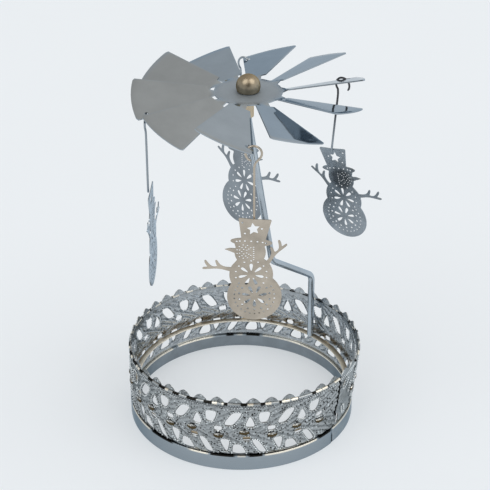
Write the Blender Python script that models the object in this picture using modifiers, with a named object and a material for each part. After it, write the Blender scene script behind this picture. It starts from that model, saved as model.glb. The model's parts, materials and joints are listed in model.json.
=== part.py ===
"""Jar candle spinner: a pierced metal collar that sits on the rim of a jar candle, a bent wire
post that stands on the collar's ledge, and a fan that turns on the post's point over the flame.
Four snowman charms hang from the fan's blades on wire hooks. Metres, +Z up, with the origin on
the collar's axis at its foot."""

import math
from typing import NamedTuple

import bmesh
import bpy
from mathutils import Matrix, Vector

# Fits
CLEARANCE = 0.0003
PIVOT_CLEARANCE = 0.00035

# Hemmed rim at the foot of the collar
RIM_RADIUS = 0.0510
RIM_SHEET = 0.0005
RIM_OUTER_HEIGHT = 0.0076
RIM_INNER_HEIGHT = 0.0065
RING_STEPS = 72

# Pierced band: a strip rolled into a ring, with a plain lap beside its open seam, where its top
# springs outwards
BAND_SHEET = 0.0006
BAND_HEIGHT = 0.0346
SCALLOP_RISE = 0.0022
REPEATS = 13
SCALLOPS_PER_REPEAT = 3
LAP_LENGTH = 0.0146
SEAM_GAP = 0.0004
SEAM_WAVE = 0.0012
SEAM_STEPS = 5
SEAM_AZIMUTH = math.radians(-35.5)
FLARE = 0.0030
FLARE_AZIMUTH = math.radians(-15.0)
BAND_COLUMNS = 36
UPPER_ROW_DROP = 0.0079
LOWER_ROW_LIFT = 0.0044

# One scallop's outline, as shares of its pitch and of its rise
SCALLOP_SHAPE = ((0.88, 0.0), (0.74, 0.60), (0.60, 0.96), (0.40, 0.96), (0.26, 0.60), (0.12, 0.0))

# Openings of one repeat: row, place along the repeat, lift, width, height, lean, taper
PIERCINGS = (
    ("upper", 0.11, -0.0016, 0.0030, 0.0050, 0.0000, -0.75),
    ("upper", 0.37, 0.0006, 0.0046, 0.0052, 0.0003, 0.20),
    ("upper", 0.79, -0.0002, 0.0038, 0.0066, 0.0017, 0.00),
    ("lower", 0.28, 0.0000, 0.0025, 0.0072, -0.0017, 0.00),
    ("lower", 0.65, 0.0008, 0.0030, 0.0058, -0.0004, 0.65),
    ("lower", 0.89, -0.0013, 0.0046, 0.0044, -0.0005, -0.30),
)
PIERCING_POINTS = 8

# Ledge inside the collar, which rests on the jar's rim
LEDGE_WIDTH = 0.0026
LEDGE_SHEET = 0.0006
LEDGE_HEIGHT = 0.0156

# Wire post, which stands on the ledge
POST_RADIUS = 0.0015
POST_AZIMUTH = math.radians(45.5)
POST_FOOT_INSET = 0.0003
POST_LEG_TOP = 0.0488
POST_ELBOW_REACH = 0.0160
POST_ELBOW_HEIGHT = 0.0689
POST_BEND_RADIUS = 0.0055
POST_TOP_BEND_RADIUS = 0.0100
POST_STRAIGHT_BELOW_SLEEVE = 0.0015
POST_TIP_LENGTH = 0.0030
POST_TIP_SHARE = 0.12
BEND_STEPS = 5
POST_BEVEL_STEPS = 3

# Fan, stamped from one sheet
HUB_AXIS_X = 0.0033
FAN_HEIGHT = 0.1560
FAN_SHEET = 0.0005
FAN_RADIUS = 0.0485
HUB_RADIUS = 0.0143
NECK_WIDTH = 0.0048
NECK_LENGTH = 0.0013
SHOULDER_DEPTH = 0.0006
BLADE_HALF_ANGLE = math.radians(15.0)
BLADE_ROWS = 3
NECK_SHARES = (-1.0, -0.5, 0.0, 0.5, 1.0)
ROTOR_PHASE = math.radians(6.2)

# Blade pitch and rise in degrees, one for each hand-bent blade, counter-clockwise from the right
BLADE_PITCH = (18, 22, 18, 14, 19, 20, 17, 17, 17, 16)
BLADE_RISE = (6, 6, -1, -3, 1, -2, -8, -2, -5, 2)
BLADES = len(BLADE_PITCH)

# Ball and bearing sleeve at the hub
BALL_RADIUS = 0.0051
BALL_LIFT = 0.0026
SPIGOT_RADIUS = 0.0013
SPIGOT_RISE = 0.0035
SLEEVE_WALL = 0.0005
SLEEVE_LENGTH = 0.0105
CUP_ROOF = 0.0010
CUP_DEPTH = 0.0012
BALL_STEPS = 28
BALL_ARC_POINTS = 11

# Hooks through holes beside the blades' trailing edges
HOOK_WIRE_RADIUS = 0.00045
HOOK_LOOP_RADIUS = 0.0032
HOOK_HANG_SHARE = 0.58
HOOK_HOLE_RADIUS = 0.0014
HOOK_EDGE_STRIP = 0.0007
HOOK_TIP_INSET = 0.0047
HOOK_LAP = 0.0015
HOOK_OPEN_ANGLE = math.radians(215.0)
HOOK_CLOSE_ANGLE = math.radians(-50.0)
HOOK_KINK_DROP = 0.0015
HOOK_LOOP_STEPS = 15
HOOK_BEVEL_STEPS = 1
HOOK_HOLE_SEGMENTS = 12

# Snowman charm, measured from the middle of the hat's top
CHARM_SHEET = 0.0006
HAT_TOP_WIDTH = 0.0132
HAT_BASE_WIDTH = 0.0098
HAT_TURN = math.radians(-4.5)
BRIM_CENTRE = (-0.0007, -0.0106)
BRIM_HALF_WIDTH = 0.0084
BRIM_HALF_HEIGHT = 0.0018
HEAD_CENTRE = (-0.0016, -0.0153)
HEAD_RADIUS = 0.0063
CHEST_CENTRE = (-0.0012, -0.0257)
CHEST_RADIUS = 0.0089
BASE_CENTRE = (0.0001, -0.0359)
BASE_RADIUS = 0.0112
NOSE_LENGTH = 0.0041
ARM_LENGTH = 0.0114
STAR_CENTRE = (-0.0003, -0.0046)
STAR_POINTS = 5
STAR_RADIUS = 0.0026
STAR_INNER_SHARE = 0.45
STAR_TURN = math.radians(8.0)
PETALS = 7
CHEST_PETAL_TURN = math.radians(90.0)
BASE_PETAL_TURN = math.radians(-90.0)
PETAL_INNER = 0.0018
PETAL_OUTER = 0.0050
PETAL_WIDTH = 0.0015
PETAL_WAIST_SHARE = 0.45
PETAL_WAIST_WIDTH_SHARE = 0.6
PETAL_SHOULDER_SHARE = 0.2

# Directions round the charm's brim and balls where its edges, nose and arms start
BRIM_LEFT_ANGLE = math.radians(216.0)
BRIM_RIGHT_ANGLE = math.radians(-48.0)
CHEEK_LEFT_ANGLE = math.radians(158.0)
CHEEK_RIGHT_ANGLE = math.radians(22.0)
NOSE_TOP_ANGLE = math.radians(164.0)
NOSE_TIP_ANGLE = math.radians(166.0)
NOSE_FOOT_ANGLE = math.radians(184.0)
ARM_LEFT_ROOT_ANGLE = math.radians(163.0)
ARM_LEFT_DIRECTION = math.radians(178.0)
ARM_RIGHT_ROOT_ANGLE = math.radians(40.0)
ARM_RIGHT_DIRECTION = math.radians(47.0)

# Points along the charm's curved edges
BRIM_POINTS = 6
JAW_POINTS = 3
SIDE_POINTS = 4
BASE_POINTS = 15

# A twig arm's outline from its upper root to its lower root, as shares of its length
TWIG_SHAPE = (
    (0.37, 0.19), (0.45, 0.35), (0.52, 0.33), (0.54, 0.18), (0.70, 0.18), (0.86, 0.35),
    (0.92, 0.30), (0.82, 0.12), (0.99, 0.05), (0.97, -0.03), (0.51, 0.05),
)  # fmt: skip
TWIG_ROOT_HALF_ANGLE = math.radians(5.8)


class Hanger(NamedTuple):
    """A hook and its charm. Yaw is from facing outwards, lean is the wire's, offset is its stem's
    from the loop's centre, length runs from there to the hat, side is +1 for a charm in front of
    its wire, and tilt and pitch are the charm's on the wire. Angles are in degrees."""

    name: str
    blade: int
    yaw: float
    lean: float
    offset: float
    length: float
    side: int
    tilt: float
    pitch: float


HANGERS = (
    Hanger("right", 0, 39.5, 5.0, 0.0017, 0.0322, 1, -10.6, -10.5),
    Hanger("back", 2, -35.0, 2.0, 0.0017, 0.0314, 1, -6.4, 4.4),
    Hanger("left", 5, -23.0, 0.0, 0.0010, 0.0302, -1, -6.0, -1.0),
    Hanger("front", 7, 0.0, 0.0, 0.0002, 0.0296, 1, 0.0, 0.0),
)

# Sizes that follow from the ones above
BAND_MID_RADIUS = RIM_RADIUS - RIM_SHEET - CLEARANCE - BAND_SHEET / 2
BAND_INNER_RADIUS = BAND_MID_RADIUS - BAND_SHEET / 2
BAND_FOOT = RIM_SHEET + CLEARANCE
STRIP_LENGTH = 2 * math.pi * BAND_MID_RADIUS - SEAM_GAP
REPEAT_LENGTH = (STRIP_LENGTH - LAP_LENGTH) / REPEATS
LEDGE_OUTER_RADIUS = BAND_INNER_RADIUS - CLEARANCE
LEDGE_INNER_RADIUS = LEDGE_OUTER_RADIUS - LEDGE_WIDTH
POST_FOOT_RADIUS = LEDGE_INNER_RADIUS + POST_FOOT_INSET
BORE_RADIUS = POST_RADIUS + PIVOT_CLEARANCE
SLEEVE_RADIUS = BORE_RADIUS + SLEEVE_WALL
SPIGOT_HOLE_RADIUS = SPIGOT_RADIUS + CLEARANCE
SLEEVE_TOP = -FAN_SHEET / 2 - CLEARANCE
SLEEVE_BOTTOM = SLEEVE_TOP - SLEEVE_LENGTH
CUP_APEX = SLEEVE_TOP - CUP_ROOF
HOOK_REACH = FAN_RADIUS - HOOK_TIP_INSET
HOOK_HOLE_CUT = 6 * FAN_SHEET
ROTOR_ORIGIN = Vector((HUB_AXIS_X, 0.0, FAN_HEIGHT))
UP = Vector((0.0, 0.0, 1.0))
FULL_TURN = 2 * math.pi
WELD = 1e-6
FLAT_ANGLE = math.radians(0.1)
SMOOTH_ANGLE = math.radians(35.0)
AXIS_MARK_SIZE = 0.01

# Plated finishes: colour, metallic, roughness
PLATE_COOL = ((0.55, 0.60, 0.64), 1.0, 0.12)
PLATE_WARM = ((0.66, 0.62, 0.55), 1.0, 0.16)
BRASS = ((0.66, 0.55, 0.36), 1.0, 0.14)


def clear_scene():
    for obj in list(bpy.data.objects):
        bpy.data.objects.remove(obj, do_unlink=True)


def add_collection(name):
    collection = bpy.data.collections.new(name)
    bpy.context.scene.collection.children.link(collection)
    return collection


def add_material(name, finish):
    colour, metallic, roughness = finish
    material = bpy.data.materials.new(name)
    material.use_nodes = True
    shader = material.node_tree.nodes["Principled BSDF"]
    shader.inputs["Base Color"].default_value = (*colour, 1.0)
    shader.inputs["Metallic"].default_value = metallic
    shader.inputs["Roughness"].default_value = roughness
    return material


def add_part(name, data, collection, finish, parent=None):
    """A named object with its own material, under its joint's empty where it has one."""
    obj = bpy.data.objects.new(name, data)
    collection.objects.link(obj)
    material = add_material(name + "_finish", finish)
    if data.materials:
        data = data.copy()
        data.materials.clear()
        obj.data = data
    data.materials.append(material)
    obj.parent = parent
    return obj


def add_axis(name, matrix, collection):
    empty = bpy.data.objects.new(name, None)
    collection.objects.link(empty)
    empty.empty_display_size = AXIS_MARK_SIZE
    empty.matrix_world = matrix
    return empty


def turned(name, profile, steps, collection, finish, parent=None, closed=True):
    """A profile of (radius, height) points, run round the Z axis."""
    mesh = bpy.data.meshes.new(name)
    count = len(profile)
    edges = [(i, (i + 1) % count) for i in range(count if closed else count - 1)]
    mesh.from_pydata([(r, 0.0, z) for r, z in profile], edges, [])
    obj = add_part(name, mesh, collection, finish, parent)
    screw = obj.modifiers.new("turn", "SCREW")
    screw.axis = "Z"
    screw.steps = steps
    screw.render_steps = steps
    screw.use_merge_vertices = True
    screw.merge_threshold = WELD
    screw.use_smooth_shade = True
    return obj


def flat_mesh(name, loops, thickness):
    """A flat sheet with holes: the first loop is its outline, and the rest are its openings."""
    curve = bpy.data.curves.new(name, "CURVE")
    curve.dimensions = "2D"
    curve.fill_mode = "BOTH"
    curve.extrude = thickness / 2
    for loop in loops:
        spline = curve.splines.new("POLY")
        spline.points.add(len(loop) - 1)
        for point, (x, y) in zip(spline.points, loop):
            point.co = (x, y, 0.0, 1.0)
        spline.use_cyclic_u = True
    obj = bpy.data.objects.new(name, curve)
    bpy.context.scene.collection.objects.link(obj)
    graph = bpy.context.evaluated_depsgraph_get()
    mesh = bpy.data.meshes.new_from_object(obj.evaluated_get(graph))
    mesh.name = name
    bpy.data.objects.remove(obj)
    bpy.data.curves.remove(curve)
    bm = bmesh.new()
    bm.from_mesh(mesh)
    bmesh.ops.remove_doubles(bm, verts=bm.verts, dist=WELD)
    bmesh.ops.recalc_face_normals(bm, faces=bm.faces)
    bm.to_mesh(mesh)
    bm.free()
    return mesh


def wire(name, points, radius, resolution, collection, finish, parent=None, shares=None):
    """A round wire along the points, with filled ends. Shares scale its radius at each point."""
    curve = bpy.data.curves.new(name, "CURVE")
    curve.dimensions = "3D"
    curve.bevel_depth = radius
    curve.bevel_resolution = resolution
    curve.use_fill_caps = True
    spline = curve.splines.new("POLY")
    spline.points.add(len(points) - 1)
    for index, (point, place) in enumerate(zip(spline.points, points)):
        point.co = (*place, 1.0)
        point.radius = shares[index] if shares else 1.0
    spline.use_smooth = True
    return add_part(name, curve, collection, finish, parent)


def on_circle(centre, radius, angle):
    return (centre[0] + radius * math.cos(angle), centre[1] + radius * math.sin(angle))


def arc(centre, radius, start, end, count=2):
    """Points on a circle from one angle to the other, both ends included."""
    angles = (start + (end - start) * i / (count - 1) for i in range(count))
    return [on_circle(centre, radius, angle) for angle in angles]


def crossing_angle(centre, radius, other, other_radius, side):
    """Angle on the first circle where the other one crosses it, on its left (+1) or right (-1)."""
    across = (Vector(other) - Vector(centre)).to_2d()
    gap = across.length
    share = (gap * gap + radius * radius - other_radius * other_radius) / (2 * gap * radius)
    return math.atan2(across.y, across.x) - side * math.acos(share)


def rounded_path(corners, radii, steps):
    """A path through the corners, with an arc of the given radius at each inner one."""
    path = [corners[0]]
    for before, corner, after, radius in zip(corners, corners[1:], corners[2:], radii):
        inward = (before - corner).normalized()
        outward = (after - corner).normalized()
        half = inward.angle(outward) / 2
        bisector = (inward + outward).normalized()
        centre = corner + bisector * (radius / math.sin(half))
        start = corner + inward * (radius / math.tan(half)) - centre
        turn = start.rotation_difference(corner + outward * (radius / math.tan(half)) - centre)
        axis, angle = turn.to_axis_angle()
        for step in range(steps + 1):
            path.append(centre + Matrix.Rotation(angle * step / steps, 3, axis) @ start)
    path.append(corners[-1])
    return path


def build_rim(collection):
    """Sheet folded into a channel that holds the band's lower edge."""
    inner = BAND_INNER_RADIUS - CLEARANCE - RIM_SHEET
    profile = [
        (RIM_RADIUS - RIM_SHEET, RIM_OUTER_HEIGHT),
        (RIM_RADIUS, RIM_OUTER_HEIGHT - RIM_SHEET / 2),
        (RIM_RADIUS, 0.0),
        (inner, 0.0),
        (inner, RIM_INNER_HEIGHT),
        (inner + RIM_SHEET, RIM_INNER_HEIGHT),
        (inner + RIM_SHEET, RIM_SHEET),
        (RIM_RADIUS - RIM_SHEET, RIM_SHEET),
    ]
    turned("base_rim", profile, RING_STEPS, collection, PLATE_COOL)


def build_ledge(collection):
    """Flat ring inside the band, which sits on the jar's rim."""
    profile = [
        (LEDGE_OUTER_RADIUS, LEDGE_HEIGHT),
        (LEDGE_OUTER_RADIUS, LEDGE_HEIGHT - LEDGE_SHEET),
        (LEDGE_INNER_RADIUS, LEDGE_HEIGHT - LEDGE_SHEET),
        (LEDGE_INNER_RADIUS, LEDGE_HEIGHT),
    ]
    turned("jar_ledge", profile, RING_STEPS, collection, PLATE_COOL)


def scallops(start, count, pitch):
    """The band's top edge over a stretch of scallops, from its far end back to its start."""
    points = []
    for index in reversed(range(count)):
        for along, rise in SCALLOP_SHAPE:
            points.append((start + (index + along) * pitch, BAND_HEIGHT + rise * SCALLOP_RISE))
    return points


def seam_edge(place):
    """One cut end of the band, from foot to top: a slow wave that both ends share."""
    points = []
    for step in range(SEAM_STEPS + 1):
        share = step / SEAM_STEPS
        height = BAND_FOOT + (BAND_HEIGHT - BAND_FOOT) * share
        points.append((place + SEAM_WAVE * math.sin(FULL_TURN * share), height))
    return points


def piercing(row, place, lift, width, height, lean, taper, start):
    """One opening: a rounded shape that leans by lean and is wider at the top for a taper over 0."""
    rows = {"upper": BAND_HEIGHT - UPPER_ROW_DROP, "lower": RIM_OUTER_HEIGHT + LOWER_ROW_LIFT}
    points = []
    for index in range(PIERCING_POINTS):
        angle = FULL_TURN * (index + 0.5) / PIERCING_POINTS
        share = math.sin(angle) / math.sin(math.pi / 2 - math.pi / PIERCING_POINTS)
        side = width / 2 * math.cos(angle) * (1 + taper * share)
        x = start + place * REPEAT_LENGTH + side + lean * share
        points.append((x, rows[row] + lift + height / 2 * share))
    return points


def rolled(point):
    """Where a point of the flat strip goes on the ring."""
    angle = SEAM_AZIMUTH + (SEAM_GAP / 2 + point.x) / BAND_MID_RADIUS
    share = max(0.0, point.y - RIM_OUTER_HEIGHT) / (BAND_HEIGHT - RIM_OUTER_HEIGHT)
    near = max(0.0, math.cos(angle - FLARE_AZIMUTH))
    radius = BAND_MID_RADIUS + point.z + FLARE * share * near * near
    return (radius * math.cos(angle), radius * math.sin(angle), point.y)


def build_band(collection):
    """Pierced strip with a scalloped top, rolled round the Z axis from its seam."""
    pitch = REPEAT_LENGTH / SCALLOPS_PER_REPEAT
    tops = scallops(LAP_LENGTH, REPEATS * SCALLOPS_PER_REPEAT, pitch)
    lap_count = round(LAP_LENGTH / pitch)
    tops += scallops(0.0, lap_count, LAP_LENGTH / lap_count)
    outline = seam_edge(STRIP_LENGTH) + tops + seam_edge(0.0)[::-1]
    loops = [outline]
    for index in range(REPEATS):
        start = LAP_LENGTH + index * REPEAT_LENGTH
        loops += [piercing(*shape, start) for shape in PIERCINGS]
    mesh = flat_mesh("filigree_band", loops, BAND_SHEET)
    bm = bmesh.new()
    bm.from_mesh(mesh)
    for index in range(1, BAND_COLUMNS):
        place = (STRIP_LENGTH * index / BAND_COLUMNS, 0.0, 0.0)
        geometry = bm.verts[:] + bm.edges[:] + bm.faces[:]
        cut = bmesh.ops.bisect_plane(
            bm, geom=geometry, dist=WELD, plane_co=place, plane_no=(1.0, 0.0, 0.0)
        )
        for element in cut["geom_cut"]:
            if isinstance(element, bmesh.types.BMEdge):
                element.seam = True
    bmesh.ops.dissolve_limit(
        bm,
        angle_limit=FLAT_ANGLE,
        verts=bm.verts,
        edges=bm.edges,
        delimit={"SEAM"},
    )
    bmesh.ops.triangulate(bm, faces=bm.faces)
    for vertex in bm.verts:
        vertex.co = rolled(vertex.co)
    bm.to_mesh(mesh)
    bm.free()
    mesh.shade_smooth()
    mesh.set_sharp_from_angle(angle=SMOOTH_ANGLE)
    add_part("filigree_band", mesh, collection, PLATE_COOL)


def build_post(collection):
    """Bent wire from the ledge to the pivot, ground to a point that carries the fan."""
    foot = POST_FOOT_RADIUS * Vector((math.cos(POST_AZIMUTH), math.sin(POST_AZIMUTH), 0.0))
    hub = Vector((HUB_AXIS_X, 0.0, 0.0))
    elbow = hub + (foot - hub).normalized() * POST_ELBOW_REACH
    straight = FAN_HEIGHT + SLEEVE_BOTTOM - POST_STRAIGHT_BELOW_SLEEVE
    tip = FAN_HEIGHT + CUP_APEX - CLEARANCE
    corners = [
        foot + UP * (LEDGE_HEIGHT + CLEARANCE),
        foot + UP * POST_LEG_TOP,
        elbow + UP * POST_ELBOW_HEIGHT,
        hub + UP * straight,
        hub + UP * (tip - POST_TIP_LENGTH),
    ]
    radii = (POST_BEND_RADIUS, POST_BEND_RADIUS, POST_TOP_BEND_RADIUS)
    points = rounded_path(corners, radii, BEND_STEPS)
    shares = [1.0] * len(points) + [POST_TIP_SHARE]
    points.append(hub + UP * tip)
    wire("support_post", points, POST_RADIUS, POST_BEVEL_STEPS, collection, PLATE_COOL, shares=shares)


def blade_frame(index):
    """A blade's root on the hub's edge, and its directions along, across (trailing) and up."""
    azimuth = ROTOR_PHASE + FULL_TURN * index / BLADES
    radial = Vector((math.cos(azimuth), math.sin(azimuth), 0.0))
    rise = math.radians(BLADE_RISE[index])
    pitch = math.radians(BLADE_PITCH[index])
    along = radial * math.cos(rise) + UP * math.sin(rise)
    lifted = UP * math.cos(rise) - radial * math.sin(rise)
    across = UP.cross(radial) * math.cos(pitch) - lifted * math.sin(pitch)
    return radial * HUB_RADIUS, along, across, along.cross(across)


def blade_point(index, reach, offset):
    root, along, across, _ = blade_frame(index)
    return root + along * (reach - HUB_RADIUS) + across * offset


def hub_rim_point(index, share, radius):
    """A point on the hub's disc, from one edge of a blade's neck (-1) to the other (+1)."""
    half = math.asin(NECK_WIDTH / 2 / HUB_RADIUS)
    angle = ROTOR_PHASE + FULL_TURN * index / BLADES + share * half
    return Vector((radius * math.cos(angle), radius * math.sin(angle), 0.0))


def blade_vertex(index, row, share):
    """A blade's grid: its neck on the hub, the neck's end, the shoulder and the tip."""
    neck_end = HUB_RADIUS + NECK_LENGTH
    if row == 0:
        return hub_rim_point(index, share, HUB_RADIUS)
    if row == 1:
        return blade_point(index, neck_end, share * NECK_WIDTH / 2)
    radius = neck_end + SHOULDER_DEPTH if row == 2 else FAN_RADIUS
    angle = share * BLADE_HALF_ANGLE
    return blade_point(index, radius * math.cos(angle), radius * math.sin(angle))


def hook_hole(index):
    """Centre of a blade's hook hole, just inside its trailing edge."""
    inset = HOOK_EDGE_STRIP + HOOK_HOLE_RADIUS
    reach = HOOK_REACH * math.cos(BLADE_HALF_ANGLE) + inset * math.sin(BLADE_HALF_ANGLE)
    offset = HOOK_REACH * math.sin(BLADE_HALF_ANGLE) - inset * math.cos(BLADE_HALF_ANGLE)
    return blade_point(index, reach, offset)


def build_fan(collection, cutters, rotor):
    """Hub disc and twisted blades in one sheet, with a hole in each blade that carries a hook."""
    bm = bmesh.new()
    half = math.asin(NECK_WIDTH / 2 / HUB_RADIUS)
    between = math.pi / BLADES / half
    shares = (*NECK_SHARES, between)
    columns = BLADES * len(shares)
    disc = bmesh.ops.create_grid(bm, x_segments=columns, y_segments=1, size=1.0)
    for vertex in disc["verts"]:
        column = round((vertex.co.x + 1) / 2 * columns)
        index, step = divmod(column, len(shares))
        radius = HUB_RADIUS if vertex.co.y > 0 else SPIGOT_HOLE_RADIUS
        vertex.co = hub_rim_point(index % BLADES, shares[step], radius)
    for index in range(BLADES):
        segments = len(NECK_SHARES) - 1
        grid = bmesh.ops.create_grid(bm, x_segments=segments, y_segments=BLADE_ROWS, size=1.0)
        for vertex in grid["verts"]:
            row = round((vertex.co.y + 1) / 2 * BLADE_ROWS)
            vertex.co = blade_vertex(index, row, vertex.co.x)
    bmesh.ops.remove_doubles(bm, verts=bm.verts, dist=WELD)
    bmesh.ops.reverse_faces(bm, faces=bm.faces)
    mesh = bpy.data.meshes.new("fan_wheel")
    bm.to_mesh(mesh)
    bm.free()
    fan = add_part("fan_wheel", mesh, collection, PLATE_COOL, rotor)
    shell = fan.modifiers.new("sheet", "SOLIDIFY")
    shell.thickness = FAN_SHEET
    shell.offset = 0.0
    for hanger in HANGERS:
        cut = fan.modifiers.new("hook_hole_" + hanger.name, "BOOLEAN")
        cut.operation = "DIFFERENCE"
        cut.object = hole_cutter(hanger, cutters, rotor)


def hole_cutter(hanger, cutters, rotor):
    normal = blade_frame(hanger.blade)[3]
    bm = bmesh.new()
    bmesh.ops.create_cone(
        bm,
        cap_ends=True,
        segments=HOOK_HOLE_SEGMENTS,
        radius1=HOOK_HOLE_RADIUS,
        radius2=HOOK_HOLE_RADIUS,
        depth=HOOK_HOLE_CUT,
    )
    mesh = bpy.data.meshes.new("hook_hole_cutter_" + hanger.name)
    bm.to_mesh(mesh)
    bm.free()
    cutter = bpy.data.objects.new(mesh.name, mesh)
    cutters.objects.link(cutter)
    cutter.parent = rotor
    turn = normal.to_track_quat("Z", "Y").to_matrix().to_4x4()
    cutter.matrix_local = Matrix.Translation(hook_hole(hanger.blade)) @ turn
    cutter.hide_render = True
    cutter.display_type = "WIRE"
    return cutter


def build_hub(collection, rotor):
    """Ball on top of the fan, and the sleeve below it whose blind bore turns on the post."""
    flat = FAN_SHEET / 2 + CLEARANCE
    low = math.asin((flat - BALL_LIFT) / BALL_RADIUS)
    ball = arc((0.0, BALL_LIFT), BALL_RADIUS, math.pi / 2, low, BALL_ARC_POINTS)
    ball[0] = (0.0, BALL_LIFT + BALL_RADIUS)
    socket = FAN_SHEET / 2 + SPIGOT_RISE + CLEARANCE
    ball += [(SPIGOT_HOLE_RADIUS, flat), (SPIGOT_HOLE_RADIUS, socket), (0.0, socket)]
    turned("hub_ball", ball, BALL_STEPS, collection, BRASS, rotor, closed=False)
    sleeve = [
        (0.0, FAN_SHEET / 2 + SPIGOT_RISE),
        (SPIGOT_RADIUS, FAN_SHEET / 2 + SPIGOT_RISE),
        (SPIGOT_RADIUS, SLEEVE_TOP),
        (SLEEVE_RADIUS, SLEEVE_TOP),
        (SLEEVE_RADIUS, SLEEVE_BOTTOM),
        (BORE_RADIUS, SLEEVE_BOTTOM),
        (BORE_RADIUS, CUP_APEX - CUP_DEPTH),
        (0.0, CUP_APEX),
    ]
    turned("hub_sleeve", sleeve, BALL_STEPS, collection, BRASS, rotor, closed=False)


def hook_frame(hanger):
    """The hook loop's centre and axes, in the rotor's frame: X across the charm, Z up its wire."""
    hole = hook_hole(hanger.blade)
    normal = blade_frame(hanger.blade)[3]
    facing = math.atan2(hole.y, hole.x) + math.radians(hanger.yaw)
    outward = Vector((math.cos(facing), math.sin(facing), 0.0))
    chord = normal.cross(outward).normalized()
    if chord.dot(UP.cross(outward)) < 0:
        chord.negate()
    lift = (normal - outward * normal.dot(outward)).normalized()
    drop = HOOK_LOOP_RADIUS * HOOK_HANG_SHARE
    half_chord = math.sqrt(HOOK_LOOP_RADIUS * HOOK_LOOP_RADIUS - drop * drop)
    centre = hole + chord * half_chord - lift * drop
    turn = Matrix.Rotation(facing + math.pi / 2, 4, "Z")
    lean = Matrix.Rotation(-math.radians(hanger.lean), 4, "Y")
    return Matrix.Translation(centre) @ turn @ lean


def hook_points(hanger):
    """Open loop, a short kink, and a straight stem down behind the charm's hat."""
    loop = arc((0.0, 0.0), HOOK_LOOP_RADIUS, HOOK_OPEN_ANGLE, HOOK_CLOSE_ANGLE, HOOK_LOOP_STEPS)
    low = -HOOK_LOOP_RADIUS - HOOK_KINK_DROP
    stem = [(hanger.offset, low), (hanger.offset, -hanger.length - HOOK_LAP)]
    return [(x, 0.0, z) for x, z in loop + stem]


def twig(root, direction, side):
    """One arm's outline from its upper root to its lower one. Side turns its prongs up."""
    along = Vector((math.cos(direction), math.sin(direction)))
    across = Vector((-along.y, along.x)) * side
    points = [Vector(root) + (along * a + across * c) * ARM_LENGTH for a, c in TWIG_SHAPE]
    return [(point.x, point.y) for point in points]


def cocked(points):
    """The hat's points, turned a little about its middle."""
    middle = Vector((0.0, BRIM_CENTRE[1] / 2))
    turn = Matrix.Rotation(HAT_TURN, 2)
    return [tuple(middle + turn @ (Vector(point) - middle)) for point in points]


def charm_outline():
    """Hat, brim, face with a nose, chest with two twig arms and base, counter-clockwise."""
    neck_left = crossing_angle(HEAD_CENTRE, HEAD_RADIUS, CHEST_CENTRE, CHEST_RADIUS, 1)
    neck_right = crossing_angle(HEAD_CENTRE, HEAD_RADIUS, CHEST_CENTRE, CHEST_RADIUS, -1)
    waist_left = crossing_angle(CHEST_CENTRE, CHEST_RADIUS, BASE_CENTRE, BASE_RADIUS, 1)
    waist_right = crossing_angle(CHEST_CENTRE, CHEST_RADIUS, BASE_CENTRE, BASE_RADIUS, -1)
    base_left = crossing_angle(BASE_CENTRE, BASE_RADIUS, CHEST_CENTRE, CHEST_RADIUS, -1)
    base_right = crossing_angle(BASE_CENTRE, BASE_RADIUS, CHEST_CENTRE, CHEST_RADIUS, 1)

    def brim(start, end):
        points = arc((0.0, 0.0), 1.0, start, end, BRIM_POINTS)
        return [
            (BRIM_CENTRE[0] + BRIM_HALF_WIDTH * x, BRIM_CENTRE[1] + BRIM_HALF_HEIGHT * y)
            for x, y in points
        ]

    head = (HEAD_CENTRE, HEAD_RADIUS)
    chest = (CHEST_CENTRE, CHEST_RADIUS)
    nose_tip = on_circle(*head, NOSE_TIP_ANGLE)
    hat_left = math.acos((-HAT_BASE_WIDTH / 2 - BRIM_CENTRE[0]) / BRIM_HALF_WIDTH)
    hat_right = math.acos((HAT_BASE_WIDTH / 2 - BRIM_CENTRE[0]) / BRIM_HALF_WIDTH)
    left_arm = twig(on_circle(*chest, ARM_LEFT_ROOT_ANGLE), ARM_LEFT_DIRECTION, -1)
    right_arm = twig(on_circle(*chest, ARM_RIGHT_ROOT_ANGLE), ARM_RIGHT_DIRECTION, 1)
    outline = cocked([(-HAT_TOP_WIDTH / 2, 0.0)] + brim(hat_left, BRIM_LEFT_ANGLE))
    outline += arc(*head, CHEEK_LEFT_ANGLE, NOSE_TOP_ANGLE)
    outline += [(nose_tip[0] - NOSE_LENGTH, nose_tip[1])]
    outline += arc(*head, NOSE_FOOT_ANGLE, neck_left % FULL_TURN, JAW_POINTS)
    outline += [on_circle(*chest, ARM_LEFT_ROOT_ANGLE - TWIG_ROOT_HALF_ANGLE)]
    outline += left_arm
    lower_left = ARM_LEFT_ROOT_ANGLE + TWIG_ROOT_HALF_ANGLE
    outline += arc(*chest, lower_left, waist_left % FULL_TURN, SIDE_POINTS)
    outline += arc(BASE_CENTRE, BASE_RADIUS, base_left, base_right + FULL_TURN, BASE_POINTS)[1:-1]
    outline += arc(*chest, waist_right, ARM_RIGHT_ROOT_ANGLE - TWIG_ROOT_HALF_ANGLE, SIDE_POINTS)
    outline += right_arm[::-1]
    outline += [on_circle(*chest, ARM_RIGHT_ROOT_ANGLE + TWIG_ROOT_HALF_ANGLE)]
    outline += arc(*head, neck_right, CHEEK_RIGHT_ANGLE, SIDE_POINTS)
    outline += cocked(brim(BRIM_RIGHT_ANGLE, hat_right) + [(HAT_TOP_WIDTH / 2, 0.0)])
    return outline


def star():
    points = []
    for index in range(2 * STAR_POINTS):
        angle = math.pi / 2 + STAR_TURN + math.pi * index / STAR_POINTS
        radius = STAR_RADIUS * (STAR_INNER_SHARE if index % 2 else 1.0)
        x = STAR_CENTRE[0] + radius * math.cos(angle)
        points.append((x, STAR_CENTRE[1] + radius * math.sin(angle)))
    return points


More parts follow.
